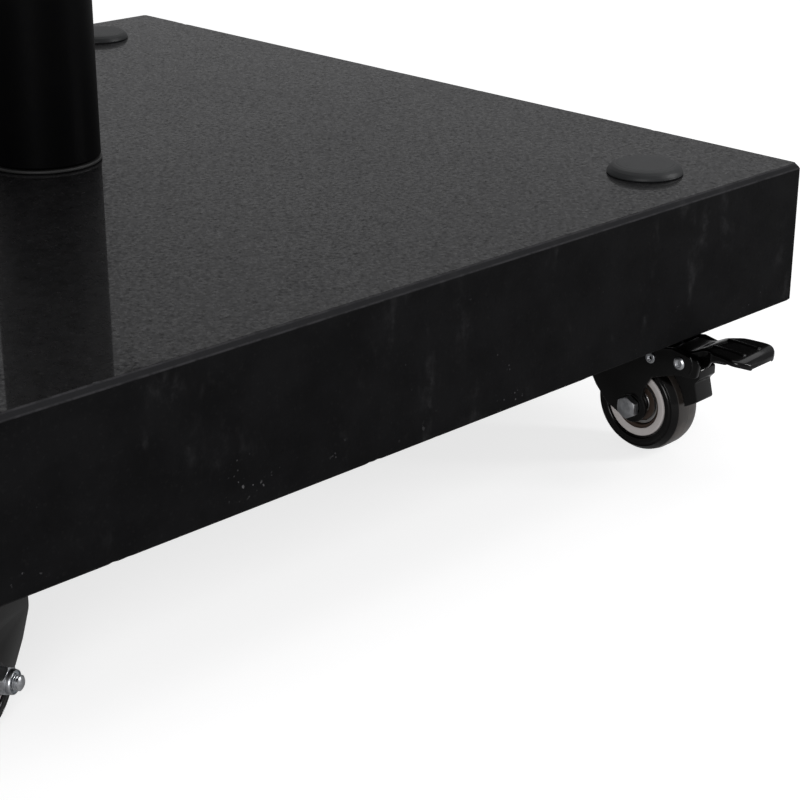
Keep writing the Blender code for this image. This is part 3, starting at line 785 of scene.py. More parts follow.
def together(*shapes: Shape) -> Shape:
    """Gather several shapes in one, and free them."""
    whole = bmesh.new()
    for shape in shapes:
        part = bpy.data.meshes.new("part")
        shape.to_mesh(part)
        shape.free()
        whole.from_mesh(part)
        bpy.data.meshes.remove(part)
    return whole


def tagged(shape: Shape, material: int) -> Shape:
    """Give a shape's faces a material's number."""
    for face in shape.faces:
        face.material_index = material
    return shape


def as_object(name: str, shape: Shape, place: Matrix, sharp: float) -> bpy.types.Object:
    """Turn a shape into an object whose place is in its mesh.

    Args:
        name: the object's name.
        shape: its mesh, which is freed.
        place: where the shape's own coordinates lie.
        sharp: the angle above which an edge stays sharp, in degrees.

    Returns:
        The object, linked to the scene.
    """
    moved(shape, place)
    mesh = bpy.data.meshes.new(name)
    shape.to_mesh(mesh)
    shape.free()
    mesh.shade_smooth()
    mesh.set_sharp_from_angle(angle=math.radians(sharp))
    item = bpy.data.objects.new(name, mesh)
    bpy.context.scene.collection.objects.link(item)
    return item


def piece(node: str, body: str, shape: Shape, finishes: Iterable[bpy.types.Material],
          place: Matrix = Matrix.Identity(4), sharp: float = 38.0) -> bpy.types.Object:
    """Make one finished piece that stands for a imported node.

    Args:
        node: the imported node; the piece is named after it.
        body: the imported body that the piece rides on.
        shape: its mesh, in its own coordinates.
        finishes: its materials, in the order of its faces' numbers.
        place: where its own coordinates lie.
        sharp: the angle above which an edge stays sharp, in degrees.

    Returns:
        The object.
    """
    item = as_object(f"{node}_finished", shape, place, sharp)
    for finish in finishes:
        item.data.materials.append(finish)
    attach(item, body)
    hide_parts(node)
    LOG.info("%s rides on %s with %d faces", item.name, body, len(item.data.polygons))
    return item


def joint(name: str) -> dict[str, object]:
    """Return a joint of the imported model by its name."""
    return next(found for found in frame["joints"] if found["name"] == name)


# =============================================================================================
# Slab
# =============================================================================================
@dataclass
class GraniteSlab:
    """The slab, with ground edges that have lost small chips, and its stepped holes."""

    chamfer: float = 0.0024
    corner: float = 0.0025
    lower_chamfer: float = 0.0012
    chip_cuts: int = 230
    chip_depth: float = 0.00055
    stem_hole: float = 0.0053
    cap_bore: float = 0.014
    cap_bore_depth: float = 0.016
    bolt_hole: float = 0.0063
    socket_bore: float = 0.021
    socket_bore_depth: float = 0.014
    sharp: float = 20.0

    def build(self, palette: Palette, stems: Sequence[Vector]) -> None:
        """Make the slab.

        Args:
            palette: the finishes.
            stems: where the casters' stems pass through it.
        """
        low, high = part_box("granite_slab")
        shape = bmesh.new()
        bmesh.ops.create_cube(shape, size=1.0)
        bmesh.ops.scale(shape, vec=high - low, verts=shape.verts)
        bmesh.ops.translate(shape, vec=(low + high) / 2, verts=shape.verts)
        softened(shape, self.corner, 1, lambda edge: self.upright(edge))
        softened(shape, self.chamfer, 1, lambda edge: self.at_height(edge, high.z))
        softened(shape, self.lower_chamfer, 1, lambda edge: self.at_height(edge, low.z))
        self.chip(shape, low, high)
        item = piece("granite_slab", "base", shape, [palette.granite],
                     sharp=self.sharp)
        self.drill(item, low, high, stems)

    def upright(self, edge: bmesh.types.BMEdge) -> bool:
        """Say whether an edge stands upright."""
        first, second = (vert.co for vert in edge.verts)
        return (first.to_2d() - second.to_2d()).length < 1e-6

    def at_height(self, edge: bmesh.types.BMEdge, height: float) -> bool:
        """Say whether an edge lies at this height."""
        return all(abs(vert.co.z - height) < 1e-6 for vert in edge.verts)

    def chip(self, shape: Shape, low: Vector, high: Vector) -> None:
        """Break the long edges of the chamfers into short ones, and knock some back.

        Args:
            shape: the chamfered box.
            low: the slab's lowest corner.
            high: the slab's highest corner.
        """
        heights = (high.z, high.z - self.chamfer, low.z, low.z + self.lower_chamfer)
        long_edges = [edge for edge in shape.edges if edge.calc_length() > 0.1
                      and any(self.at_height(edge, height) for height in heights)]
        cut = bmesh.ops.subdivide_edges(shape, edges=long_edges, cuts=self.chip_cuts,
                                        use_grid_fill=True)["geom_inner"]
        fresh = {item for item in cut if isinstance(item, bmesh.types.BMVert)}
        middle = (low + high) / 2
        for vert in fresh:
            coarse = noise.noise(vert.co * 95.0)
            fine = noise.noise(vert.co * 800.0)
            lost = max(0.0, coarse * 0.9 + fine - 0.62) * self.chip_depth * 3.2
            lost += abs(fine) * 0.00004
            at_top = vert.co.z > middle.z
            on_face = abs(vert.co.z - (high.z if at_top else low.z)) < 1e-6
            if on_face:
                across = Vector((middle.x - vert.co.x, middle.y - vert.co.y, 0.0))
                if abs(across.x) > abs(across.y):
                    vert.co.x += math.copysign(lost, across.x)
                else:
                    vert.co.y += math.copysign(lost, across.y)
            else:
                vert.co.z += -lost if at_top else lost

    def drill(self, item: bpy.types.Object, low: Vector, high: Vector,
              stems: Sequence[Vector]) -> None:
        """Cut the casters' and the socket's stepped holes.

        Args:
            item: the slab, whose mesh is replaced.
            low: its lowest corner.
            high: its highest corner.
            stems: where the casters' stems pass through it.
        """
        over = 0.002
        tall = high.z - low.z
        step = tall - self.cap_bore_depth
        caster = [(0, -over), (self.stem_hole, -over), (self.stem_hole, step),
                  (self.cap_bore, step), (self.cap_bore, tall + over), (0, tall + over)]
        socket = [(0, -over), (self.socket_bore, -over), (self.socket_bore, self.socket_bore_depth),
                  (self.bolt_hole, self.socket_bore_depth), (self.bolt_hole, tall + over),
                  (0, tall + over)]
        cutters = [moved(revolved(caster, 48), Matrix.Translation((stem.x, stem.y, low.z)))
                   for stem in stems]
        cutters.append(moved(revolved(socket, 64), Matrix.Translation((0, 0, low.z))))
        cutter = as_object("slab_holes", together(*cutters), Matrix.Identity(4), 30.0)
        cut = item.modifiers.new("holes", "BOOLEAN")
        cut.operation = "DIFFERENCE"
        cut.solver = "EXACT"
        cut.object = cutter
        graph = bpy.context.evaluated_depsgraph_get()
        mesh = bpy.data.meshes.new_from_object(item.evaluated_get(graph))
        item.modifiers.clear()
        mesh.set_sharp_from_angle(angle=math.radians(self.sharp))
        item.data = mesh
        bpy.data.objects.remove(cutter, do_unlink=True)


# =============================================================================================
# Pole socket
# =============================================================================================
@dataclass
class PoleSocket:
    """The tube on the middle of the slab, its foot ring, its sleeve and the bolt that holds it."""

    tube_radius: float = 0.0275
    wall: float = 0.002
    end_plate: float = 0.006
    bolt_hole: float = 0.0063
    boss_radius: float = 0.0085
    boss_length: float = 0.009
    screw_hole: float = 0.0043
    ring_bore: float = 0.011
    insert: float = 0.030
    sleeve_bore: float = 0.0195
    flange_height: float = 0.006
    bolt_radius: float = 0.006
    bolt_flats: float = 0.018
    bolt_head: float = 0.0075
    bolt_pitch: float = 0.00175

    def build(self, palette: Palette) -> None:
        """Make the socket's five pieces."""
        self.foot_ring(palette)
        self.tube(palette)
        self.sleeve(palette)
        self.washer(palette)
        self.bolt(palette)

    def foot_ring(self, palette: Palette) -> None:
        """Make the rubber ring between the tube and the slab."""
        low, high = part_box("socket_foot_ring")
        outer = high.x
        profile = [(self.ring_bore, low.z), (outer, low.z), (outer, high.z),
                   (self.ring_bore, high.z)]
        piece("socket_foot_ring", "base", revolved(filleted(profile, 0.0005, 4), 96),
              [palette.rubber])

    def tube(self, palette: Palette) -> None:
        """Make the tube with its welded end plate and its threaded bosses."""
        low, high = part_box("socket_tube")
        base, top = low.z, high.z
        inner = self.tube_radius - self.wall
        profile = [(self.bolt_hole, base), (self.tube_radius - 0.0012, base),
                   (self.tube_radius, base + 0.0010), (self.tube_radius, top), (inner, top),
                   (inner, base + self.end_plate), (self.bolt_hole, base + self.end_plate)]
        shapes = [revolved(filleted(profile, 0.0006, 3), 128)]
        for knob_height in self.knob_heights():
            place = Matrix.Translation((0, 0, knob_height)) @ SIDEWAYS
            start = self.tube_radius - self.wall * 0.7
            end = self.tube_radius + self.boss_length
            boss = [(self.screw_hole, start), (self.boss_radius + 0.0022, start),
                    (self.boss_radius + 0.0020, self.tube_radius + 0.0004),
                    (self.boss_radius, self.tube_radius + 0.0026), (self.boss_radius, end),
                    (self.screw_hole, end)]
            shapes.append(moved(revolved(filleted(boss, 0.0006, 3), 56), place))
        piece("socket_tube", "base", together(*shapes), [palette.powder])

    def knob_heights(self) -> list[float]:
        """Return the heights of the two clamp knobs' axes."""
        heights = []
        for name in ("upper", "lower"):
            low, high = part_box(f"{name}_clamp_knob")
            heights.append((low.z + high.z) / 2)
        return heights

    def sleeve(self, palette: Palette) -> None:
        """Make the sleeve that guides the pole, with a flange and three guide ribs."""
        low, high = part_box("pole_sleeve")
        top = high.z
        seat = top - self.flange_height + GAP
        insert = self.tube_radius - self.wall - GAP
        flange = high.x
        bottom = low.z
        profile = [(self.sleeve_bore, bottom), (insert - 0.0008, bottom), (insert, bottom + 0.0016),
                   (insert, seat), (flange, seat), (flange, top - 0.0016), (flange - 0.0022, top),
                   (self.sleeve_bore + 0.0026, top), (self.sleeve_bore, top - 0.0030)]
        shapes = [revolved(filleted(profile, 0.0008, 4), 128)]
        for turn in range(12):
            rib = block((0.0010, 0.0030, self.flange_height * 0.55),
                        (flange + 0.0001, 0.0, top - 0.0036), 0.0004, 2)
            shapes.append(moved(rib, Matrix.Rotation(math.tau * (turn + 0.5) / 12, 4, "Z")))
        piece("pole_sleeve", "base", together(*shapes), [palette.plastic])

    def washer(self, palette: Palette) -> None:
        """Make the thick washer under the slab."""
        low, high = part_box("socket_washer")
        profile = [(self.bolt_hole, low.z), (high.x, low.z), (high.x, high.z),
                   (self.bolt_hole, high.z)]
        piece("socket_washer", "base", revolved(filleted(profile, 0.0005, 3), 80),
              [palette.zinc])

    def bolt(self, palette: Palette) -> None:
        """Make the hexagon bolt from below, with the thread that enters the end plate."""
        low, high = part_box("socket_bolt")
        seat = low.z + self.bolt_head
        profile = [(0.0, seat - 0.001), (self.bolt_radius, seat - 0.001),
                   (self.bolt_radius, high.z - 0.022)]
        profile += threaded(self.bolt_radius, high.z - 0.0215, high.z - 0.0006, self.bolt_pitch)
        profile += [(self.bolt_radius - 0.0012, high.z), (0.0, high.z)]
        rim = self.bolt_flats * 0.46
        face = revolved(filleted([(0.0, seat - 0.0012), (rim, seat - 0.0012), (rim, seat),
                                  (0.0, seat)], 0.0002, 2, False), 56)
        head = hexagonal(self.bolt_flats, seat - 0.0005, low.z)
        piece("socket_bolt", "base", together(revolved(profile, 48), face, head),
              [palette.zinc])


@dataclass
class ClampKnob:
    """A lobed hand knob moulded on its screw, which clamps the pole through a boss."""

    name: str
    lobes: int = 5
    lobe: float = 0.0022
    radius: float = 0.019
    thickness: float = 0.015
    screw_radius: float = 0.004
    hub_radius: float = 0.0088
    pitch: float = 0.00125

    def build(self, palette: Palette) -> None:
        """Make the knob with its screw and its end cap."""
        node = f"{self.name}_clamp_knob"
        low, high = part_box(node)
        face = high.x - self.thickness
        steps = self.lobes * 20
        outline = []
        for step in range(steps):
            turn = math.tau * step / steps
            reach = self.radius - self.lobe + self.lobe * math.cos(self.lobes * turn)
            outline.append((reach * math.cos(turn), reach * math.sin(turn)))
        head = raised(outline, face + 0.003, high.x - 0.0008)
        softened(head, 0.0026, 5, lambda edge: abs(edge.verts[0].co.z - edge.verts[1].co.z) < 1e-6)
        hub = revolved(filleted([(0, face), (self.hub_radius, face),
                                 (self.hub_radius + 0.0012, face + 0.006), (0, face + 0.006)],
                                0.0008, 3, False), 56)
        cover = revolved(filleted([(0, high.x - 0.003), (0.0092, high.x - 0.003),
                                   (0.0092, high.x - 0.0004), (0.0070, high.x), (0, high.x)],
                                  0.0006, 3, False), 56)
        screw = [(0.0, low.x), (self.screw_radius - 0.001, low.x)]
        screw += threaded(self.screw_radius, low.x + 0.001, face + 0.001, self.pitch)
        screw += [(self.screw_radius - 0.001, face + 0.002), (0.0, face + 0.002)]
        place = Matrix.Translation((0, 0, (low.z + high.z) / 2)) @ SIDEWAYS
        shape = together(head, hub, cover, tagged(revolved(screw, 40), 1))
        piece(node, f"{self.name}_knob", shape, [palette.plastic, palette.zinc],
              place)


# =============================================================================================
# Caster
# =============================================================================================
@dataclass
class Caster:
    """One braked swivel caster and the cap over its stem.

    Its own frame has its origin on the stem at the slab's underside, with +X towards the pedal.
    """

    name: str
    slab_top: float
    slab_base: float
    race_radius: float = 0.0225
    race_thickness: float = 0.0025
    ball_radius: float = 0.00175
    balls: int = 10
    ball_track: float = 0.0155
    plate: float = 0.0024
    crown_radius: float = 0.022
    kingpin_radius: float = 0.006
    kingpin_head: float = 0.0105
    stem_radius: float = 0.005
    nut_height: float = 0.010
    cap_bore_depth: float = 0.016
    leg_inner: float = 0.01145
    leg_front: float = 0.020
    leg_end: float = 0.0085
    axle_radius: float = 0.003
    head_flats: float = 0.010
    head_height: float = 0.004
    nut_flats: float = 0.010
    axle_nut_height: float = 0.0074
    past_nut: float = 0.0027
    tyre_half: float = 0.01025
    tread_edge: float = 0.0011
    rim_radius: float = 0.0168
    rim_half: float = 0.0096
    hub_radius: float = 0.0128
    bearing_radius: float = 0.011
    bearing_half: float = 0.007
    pin_radius: float = 0.0026
    pin_head: float = 0.0032
    rivet_radius: float = 0.0021
    pedal_sheet: float = 0.002
    pedal_reach: float = 0.0365
    pad_half_width: float = 0.0165
    ear: float = 0.0062
    pad_below_slab: float = 0.0035
    shoe_gap: float = 0.0016
    shoe_eye: float = 0.0039
    shoe_side_room: float = 0.0024
    shoe_wheel: float = 0.025
    place: Matrix = field(init=False)
    axle: Vector = field(init=False)
    pivot: Vector = field(init=False)
    rivet: Vector = field(init=False)
    stem: Vector = field(init=False)

    def __post_init__(self) -> None:
        """Read the caster's place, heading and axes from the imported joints."""
        roll = joint(f"{self.name}_roll")
        sideways = Vector(roll["axis"])
        heading = math.atan2(-sideways.x, sideways.y)
        self.stem = Vector(joint(f"{self.name}_swivel")["pos_m"])
        self.place = (Matrix.Translation((self.stem.x, self.stem.y, self.slab_base))
                      @ Matrix.Rotation(heading, 4, "Z"))
        back = self.place.inverted()
        self.axle = back @ Vector(roll["pos_m"])
        self.pivot = back @ Vector(joint(f"{self.name}_brake")["pos_m"])
        self.rivet = back @ Vector(joint(f"{self.name}_shoe_swing")["pos_m"])

    @property
    def crown_top(self) -> float:
        """Return the crown's top below the slab's underside."""
        return -GAP - self.race_thickness - GAP - 2 * self.ball_radius - GAP

    @property
    def crown_bottom(self) -> float:
        """Return the crown's underside."""
        return self.crown_top - self.plate

    @property
    def leg_outer(self) -> float:
        """Return the outer face of a leg from the wheel's middle."""
        return self.leg_inner + self.plate

    @property
    def wheel_radius(self) -> float:
        """Return the radius that stands on the floor."""
        return self.axle.z + self.slab_base

    def at(self, point: Vector) -> Matrix:
        """Return the frame of a piece that turns across the caster at this point."""
        return self.place @ Matrix.Translation(point) @ LYING

    def build(self, palette: Palette) -> None:
        """Make all of the caster's pieces."""
        self.cap(palette)
        self.swivel_stem(palette)
        self.stem_nut(palette)
        self.ball_ring(palette)
        self.fork(palette)
        self.axle_bolt(palette)
        self.axle_nut(palette)
        self.tyre(palette)
        self.rim(palette)
        self.bearing(palette)
        self.pedal(palette)
        self.pedal_pin(palette)
        self.shoe(palette)

    # ---- over and in the slab ----------------------------------------------------------------
    def cap(self, palette: Palette) -> None:
        """Make the round cap: a low dome with a thin lip, over a plug with three barbs."""
        lip = 0.0182
        profile = [(0, GAP), (0.0117, GAP), (0.0117, -0.005), (0.0134, -0.005), (0.0137, -0.0042),
                   (0.0133, -0.0034), (0.0137, -0.0026), (0.0133, -0.0018), (0.0137, -0.0010),
                   (0.0137, GAP), (lip - 0.0002, 0.00006), (lip, 0.0006), (0.0179, 0.0016),
                   (0.0172, 0.0028), (0.0160, 0.0039), (0.0146, 0.0046), (0.0139, 0.0045),
                   (0.0132, 0.0048), (0.0105, 0.0051), (0, 0.0052)]
        place = Matrix.Translation((self.stem.x, self.stem.y, self.slab_top))
        piece(f"{self.name}_stem_cap", "base", revolved(filleted(profile, 0.0005, 3, False), 112),
              [palette.cap], place, 50.0)

    def swivel_stem(self, palette: Palette) -> None:
        """Make the threaded stem with the upper race and the kingpin's riveted head."""
        race_bottom = -GAP - self.race_thickness
        head_top = self.crown_bottom - GAP
        tall = self.slab_top - self.slab_base
        seat = tall - self.cap_bore_depth
        top = seat + GAP + self.nut_height + 0.0022
        head = filleted([(0, head_top - 0.0022), (0.0068, head_top - 0.0021),
                         (self.kingpin_head, head_top - 0.0006), (self.kingpin_head, head_top),
                         (self.kingpin_radius, head_top), (self.kingpin_radius, race_bottom),
                         (self.ball_track - 0.0022, race_bottom),
                         (self.ball_track, race_bottom + 0.0006),
                         (self.ball_track + 0.0022, race_bottom),
                         (self.race_radius, race_bottom), (self.race_radius, -GAP),
                         (0.0074, -GAP), (0.0070, -GAP)], 0.0006, 3, False)
        shank = [(self.stem_radius, -GAP), (self.stem_radius, seat - 0.014)]
        shank += threaded(self.stem_radius, seat - 0.0135, top - 0.0006, 0.0015)
        shank += [(self.stem_radius - 0.0012, top), (0, top)]
        piece(f"{self.name}_swivel_stem", "base", revolved(head + shank, 72), [palette.zinc],
              self.place)

    def stem_nut(self, palette: Palette) -> None:
        """Make the flanged nut in the counterbore."""
        seat = self.slab_top - self.slab_base - self.cap_bore_depth + GAP
        flange = revolved(filleted([(self.stem_radius + GAP, seat), (0.0105, seat),
                                    (0.0105, seat + 0.0012), (0.0078, seat + 0.0024),
                                    (self.stem_radius + GAP, seat + 0.0024)], 0.0004, 2), 64)
        blank = hexagonal(0.016, seat + 0.0010, seat + self.nut_height)
        piece(f"{self.name}_stem_nut", "base", together(flange, blank), [palette.zinc],
              self.place)

    # ---- swivel and fork ---------------------------------------------------------------------
    def ball_ring(self, palette: Palette) -> None:
        """Make the ten balls and the pressed cage that spaces them."""
        height = self.crown_top + GAP + self.ball_radius
        turns = [math.tau * step / 10 for step in range(10)]
        cage = revolved([(self.ball_track + 0.0010 * math.cos(turn),
                          height + 0.0007 * math.sin(turn)) for turn in turns], 80)
        shapes = [cage]
        for ball in range(self.balls):
            sphere = bmesh.new()
            bmesh.ops.create_uvsphere(sphere, u_segments=16, v_segments=10, radius=self.ball_radius)
            turn = math.tau * ball / self.balls
            spot = (self.ball_track * math.cos(turn), self.ball_track * math.sin(turn), height)
            shapes.append(moved(sphere, Matrix.Translation(spot)))
        piece(f"{self.name}_ball_ring", f"{self.name}_fork", together(*shapes), [palette.steel],
              self.place)

    def leg_outline(self) -> list[Point]:
        """Return a leg seen from its side, as (x, z) points in order."""
        axle, pivot = self.axle, self.pivot
        top = self.crown_top - 0.0020
        start = [(-self.leg_front, top), (-self.leg_front, axle.z + 0.0152),
                 (axle.x - 0.0220, axle.z + 0.0052), (axle.x - 0.0150, axle.z - 0.0022)]
        foot = arc((axle.x, axle.z), self.leg_end, 232, 370, 18)
        back = [(axle.x + 0.0062, axle.z + 0.0060), (axle.x + 0.0068, axle.z + 0.0100),
                (axle.x + 0.0086, axle.z + 0.0133), (axle.x + 0.0114, axle.z + 0.0178),
                (pivot.x - 0.0023, pivot.z - 0.0069), (pivot.x + 0.0096, pivot.z - 0.0058),
                (pivot.x + 0.0113, pivot.z + 0.0033), (pivot.x - 0.0050, pivot.z + 0.0062),
                (self.crown_radius, top)]
        return filleted(start, 0.006, 6, False) + foot + filleted(back, 0.0022, 5, False)

    def fork(self, palette: Palette) -> None:
        """Make the fork: a pressed crown, a folded bridge, two embossed legs and the rivet."""
        hole = self.kingpin_radius + GAP
        top, bottom = self.crown_top, self.crown_bottom
        crown = [(hole, bottom), (self.crown_radius - 0.0006, bottom),
                 (self.crown_radius, top - 0.001), (self.crown_radius - 0.0008, top),
                 (self.ball_track + 0.0024, top),
                 (self.ball_track, top - 0.0004), (self.ball_track - 0.0024, top), (hole, top)]
        shapes = [revolved(filleted(crown, 0.0007, 3), 96), self.bridge()]
        for side in (-1, 1):
            near = self.leg_inner if side > 0 else -self.leg_outer
            leg = raised(self.leg_outline(), -near - self.plate, -near)
            softened(leg, 0.00055, 3)
            shapes.append(moved(leg, LYING))
            shapes.append(self.emboss(side))
            boss = [(self.axle_radius + 0.0002, 0), (0.0064, 0), (0.0060, 0.00022),
                    (self.axle_radius + 0.0002, 0.00022)]
            outward = LYING if side < 0 else Matrix.Rotation(-math.pi / 2, 4, "X")
            spot = Matrix.Translation((self.axle.x, side * (self.leg_outer - 0.00005), self.axle.z))
            shapes.append(moved(revolved(boss, 48), spot @ outward))
        shapes.append(moved(self.hollow_rivet(), Matrix.Translation(self.rivet) @ LYING))
        piece(f"{self.name}_fork", f"{self.name}_fork", together(*shapes),
              [palette.dip, palette.zinc], self.place)

    def bridge(self) -> Shape:
        """Return the plate between the legs, folded down along both sides."""
        outer, inner = self.leg_outer, self.leg_inner
        top, bottom = self.crown_top, self.crown_bottom
        lower = top - 0.0036
        section = [(outer, lower), (outer, top), (-outer, top), (-outer, lower), (-inner, lower),
                   (-inner, bottom), (inner, bottom), (inner, lower)]
        section = filleted(section, 0.0018, 5)
        length = self.crown_radius - 0.0006 + self.leg_front - 0.0004
        fold = raised(section, -(self.leg_front - 0.0004), length - self.leg_front + 0.0004)
        turn = Matrix(((0, 0, 1, 0), (1, 0, 0, 0), (0, 1, 0, 0), (0, 0, 0, 1)))
        moved(fold, turn)
        return cleaned(fold)

    def emboss(self, side: int) -> Shape:
        """Make the ridge pressed round the pedal's pin.

        Args:
            side: 1 for the leg at +Y, -1 for the other.

        Returns:
            The ridge in the caster's own frame.
        """
        ridge = bmesh.new()
        bmesh.ops.create_circle(ridge, cap_ends=True, segments=12, radius=0.0007)
        bmesh.ops.rotate(ridge, verts=ridge.verts, cent=(0, 0, 0),
                         matrix=Matrix.Rotation(math.pi / 2, 3, "X"))
        bmesh.ops.translate(ridge, verts=ridge.verts, vec=(0.0072, 0, 0))
        geom = ridge.verts[:] + ridge.edges[:] + ridge.faces[:]
        bmesh.ops.spin(ridge, geom=geom, cent=(0, 0, 0), axis=(0, 0, 1), angle=math.radians(76),
                       steps=18)
        bmesh.ops.scale(ridge, vec=(1, 1, 0.7), verts=ridge.verts)
        moved(ridge, Matrix.Rotation(math.radians(-40), 4, "Z"))
        spot = Matrix.Translation((self.pivot.x, side * self.leg_outer, self.pivot.z))
        return cleaned(moved(ridge, spot @ LYING))

    def hollow_rivet(self) -> Shape:
        """Return the cross rivet, with rolled rings and dimples at its ends."""
        end = self.leg_outer + 0.0008
        half = [(0, end - 0.0009), (0.0009, end - 0.0008), (0.0013, end), (0.0026, end - 0.0001),
                (0.0028, self.leg_outer + 0.0001), (self.rivet_radius, self.leg_outer)]
        profile = half + [(radius, -height) for radius, height in reversed(half)]
        return tagged(revolved(filleted(profile, 0.0003, 2, False), 40), 1)

    # ---- wheel and axle ----------------------------------------------------------------------
    def axle_bolt(self, palette: Palette) -> None:
        """Make the hexagon bolt, with its washer face and the thread past the nut."""
        seat = self.leg_outer + GAP
        end = seat + self.axle_nut_height + self.past_nut
        shank = [(0, -end), (self.axle_radius - 0.0009, -end)]
        shank += threaded(self.axle_radius, -end + 0.0002, -seat - 0.0008, 0.00105)
        shank += [(self.axle_radius, -seat), (self.axle_radius, seat + 0.001), (0, seat + 0.001)]
        face = revolved(filleted([(0, seat), (self.head_flats * 0.49, seat),
                                  (self.head_flats * 0.49, seat + 0.0006), (0, seat + 0.0006)],
                                 0.0001, 2, False), 48)
        head = hexagonal(self.head_flats, seat + 0.0004, seat + self.head_height)
        top = seat + self.head_height
        dish = revolved([(0.0019, top - 0.0001), (0.0031, top - 0.0001), (0.0030, top + 0.00008),
                         (0.0020, top + 0.00008)], 40)
        piece(f"{self.name}_axle_bolt", f"{self.name}_fork",
              together(revolved(shank, 40), face, head, dish), [palette.zinc],
              self.at(self.axle))

    def axle_nut(self, palette: Palette) -> None:
        """Make the lock nut: a hexagon, a rolled collar and the nylon ring inside it."""
        seat = self.leg_outer + GAP
        bore = self.axle_radius + 0.00015
        flats = self.axle_nut_height - 0.002
        blank = hexagonal(self.nut_flats, -seat, -seat - flats)
        end = -seat - self.axle_nut_height
        outer = self.nut_flats / 2 - 0.0002
        collar = [(0.0046, -seat - flats + 0.0006), (outer, -seat - flats + 0.0006),
                  (outer, end + 0.0006), (0.0046, end), (0.0043, end),
                  (0.0043, end + 0.0005), (0.0046, end + 0.0006)]
        ring = [(bore - 0.0001, -seat - flats), (0.0047, -seat - flats), (0.0047, end + 0.0005),
                (bore - 0.0001, end + 0.0007)]
        shape = together(blank, revolved(filleted(collar, 0.0004, 3), 56),
                         tagged(revolved(filleted(ring, 0.0002, 2), 48), 1))
        piece(f"{self.name}_axle_nut", f"{self.name}_fork", shape, [palette.zinc, palette.insert],
              self.at(self.axle))

    def tyre(self, palette: Palette) -> None:
        """Make the moulded tyre, with stepped sidewalls and the parting line on its tread."""
        radius = self.wheel_radius
        half = self.tyre_half
        inner = self.rim_radius + GAP
        upper = [(inner, half - 0.0012), (inner + 0.0005, half - 0.0003), (inner + 0.0014, half),
                 (inner + 0.0030, half), (inner + 0.0034, half - 0.0004),
                 (inner + 0.0043, half - 0.0004), (inner + 0.0047, half - 0.0001),
                 (radius - 0.0020, half - 0.0014),
                 (radius - 0.0006, half - 0.0034), (radius - 0.00005, half - 0.0060),
                 (radius - 0.00005, 0.00035), (radius, 0.00012)]
        profile = upper + [(across, -height) for across, height in reversed(upper)]
        shape = revolved(filleted(profile, 0.0016, 4), 144)
        # faces on the tread take the tread finish, a painted sheen
        for face in shape.faces:
            reach = face.calc_center_median().to_2d().length
            face.material_index = int(reach > radius - self.tread_edge)
        piece(f"{self.name}_tyre", f"{self.name}_wheel", shape, [palette.tyre, palette.tread],
              self.at(self.axle), 46.0)

    def rim(self, palette: Palette) -> None:
        """Make the moulded rim: a round lip, a pale web and a dark hub."""
        face = self.rim_half
        bore = self.bearing_radius + GAP
        upper = [(bore, face - 0.0030), (bore + 0.0001, face - 0.0016),
                 (bore + 0.0006, face - 0.0015), (self.hub_radius - 0.0002, face - 0.0013),
                 (self.hub_radius + 0.0002, face - 0.0005),
                 (self.rim_radius - 0.0018, face - 0.0001),
                 (self.rim_radius - 0.0010, face), (self.rim_radius - 0.0003, face - 0.0001),
                 (self.rim_radius, face - 0.0006)]
        profile = upper + [(across, -height) for across, height in reversed(upper)]
        shape = revolved(filleted(profile, 0.0005, 3), 112)
        for face in shape.faces:
            face.material_index = int(face.calc_center_median().to_2d().length < self.hub_radius)
        piece(f"{self.name}_rim", f"{self.name}_wheel", shape, [palette.nylon, palette.seal],
              self.at(self.axle))

    def bearing(self, palette: Palette) -> None:
        """Make the ball bearing: outer race, seal and inner race."""
        half = self.bearing_half
        bore = self.axle_radius + 0.00015
        shapes = []
        rings = ((0.0092, self.bearing_radius, half, 0), (0.0060, 0.0093, half - 0.0004, 1),
                 (bore, 0.0061, half, 0))
        for inner, outer, reach, material in rings:
            profile = filleted([(inner, -reach), (outer, -reach), (outer, reach), (inner, reach)],
                               0.0004, 3)
            shapes.append(tagged(revolved(profile, 72), material))
        piece(f"{self.name}_wheel_bearing", f"{self.name}_wheel", together(*shapes),
              [palette.steel, palette.seal], self.at(self.axle))

    # ---- brake -------------------------------------------------------------------------------
    def pedal_stations(self) -> list[tuple[float, float, float, float]]:
        """Return sections along the pedal from its pin: x, half width, top, bent edges' depth."""
        pad_top = -self.pad_below_slab - self.pivot.z
        neck_top = pad_top - 0.0046
        ear, reach, pad = self.ear, self.pedal_reach, self.pad_half_width
        neck = self.leg_inner - 0.0005
        shallow = self.pedal_sheet + 0.0008
        return [
            (-ear, neck, neck_top, neck_top + 0.0020),
            (-0.60 * ear, neck, neck_top, neck_top + 0.80 * ear),
            (0.0, neck, neck_top, neck_top + ear),
            (0.60 * ear, neck, neck_top + 0.0006, neck_top + 0.80 * ear),
            (ear + 0.0010, neck, neck_top + 0.0022, neck_top + 0.0048),
            (ear + 0.0040, neck - 0.0002, pad_top - 0.0010, neck_top + 0.0046),
            (ear + 0.0080, neck + 0.0008, pad_top - 0.0002, neck_top + 0.0036),
            (reach - 0.0185, neck + 0.0030, pad_top, shallow + 0.0024),
            (reach - 0.0125, pad - 0.0016, pad_top, shallow + 0.0006),
            (reach - 0.0060, pad - 0.0008, pad_top - 0.0004, shallow + 0.0002),
            (reach - 0.0020, pad - 0.0032, pad_top - 0.0014, shallow),
            (reach, pad - 0.0068, pad_top - 0.0030, shallow - 0.0002),
        ]

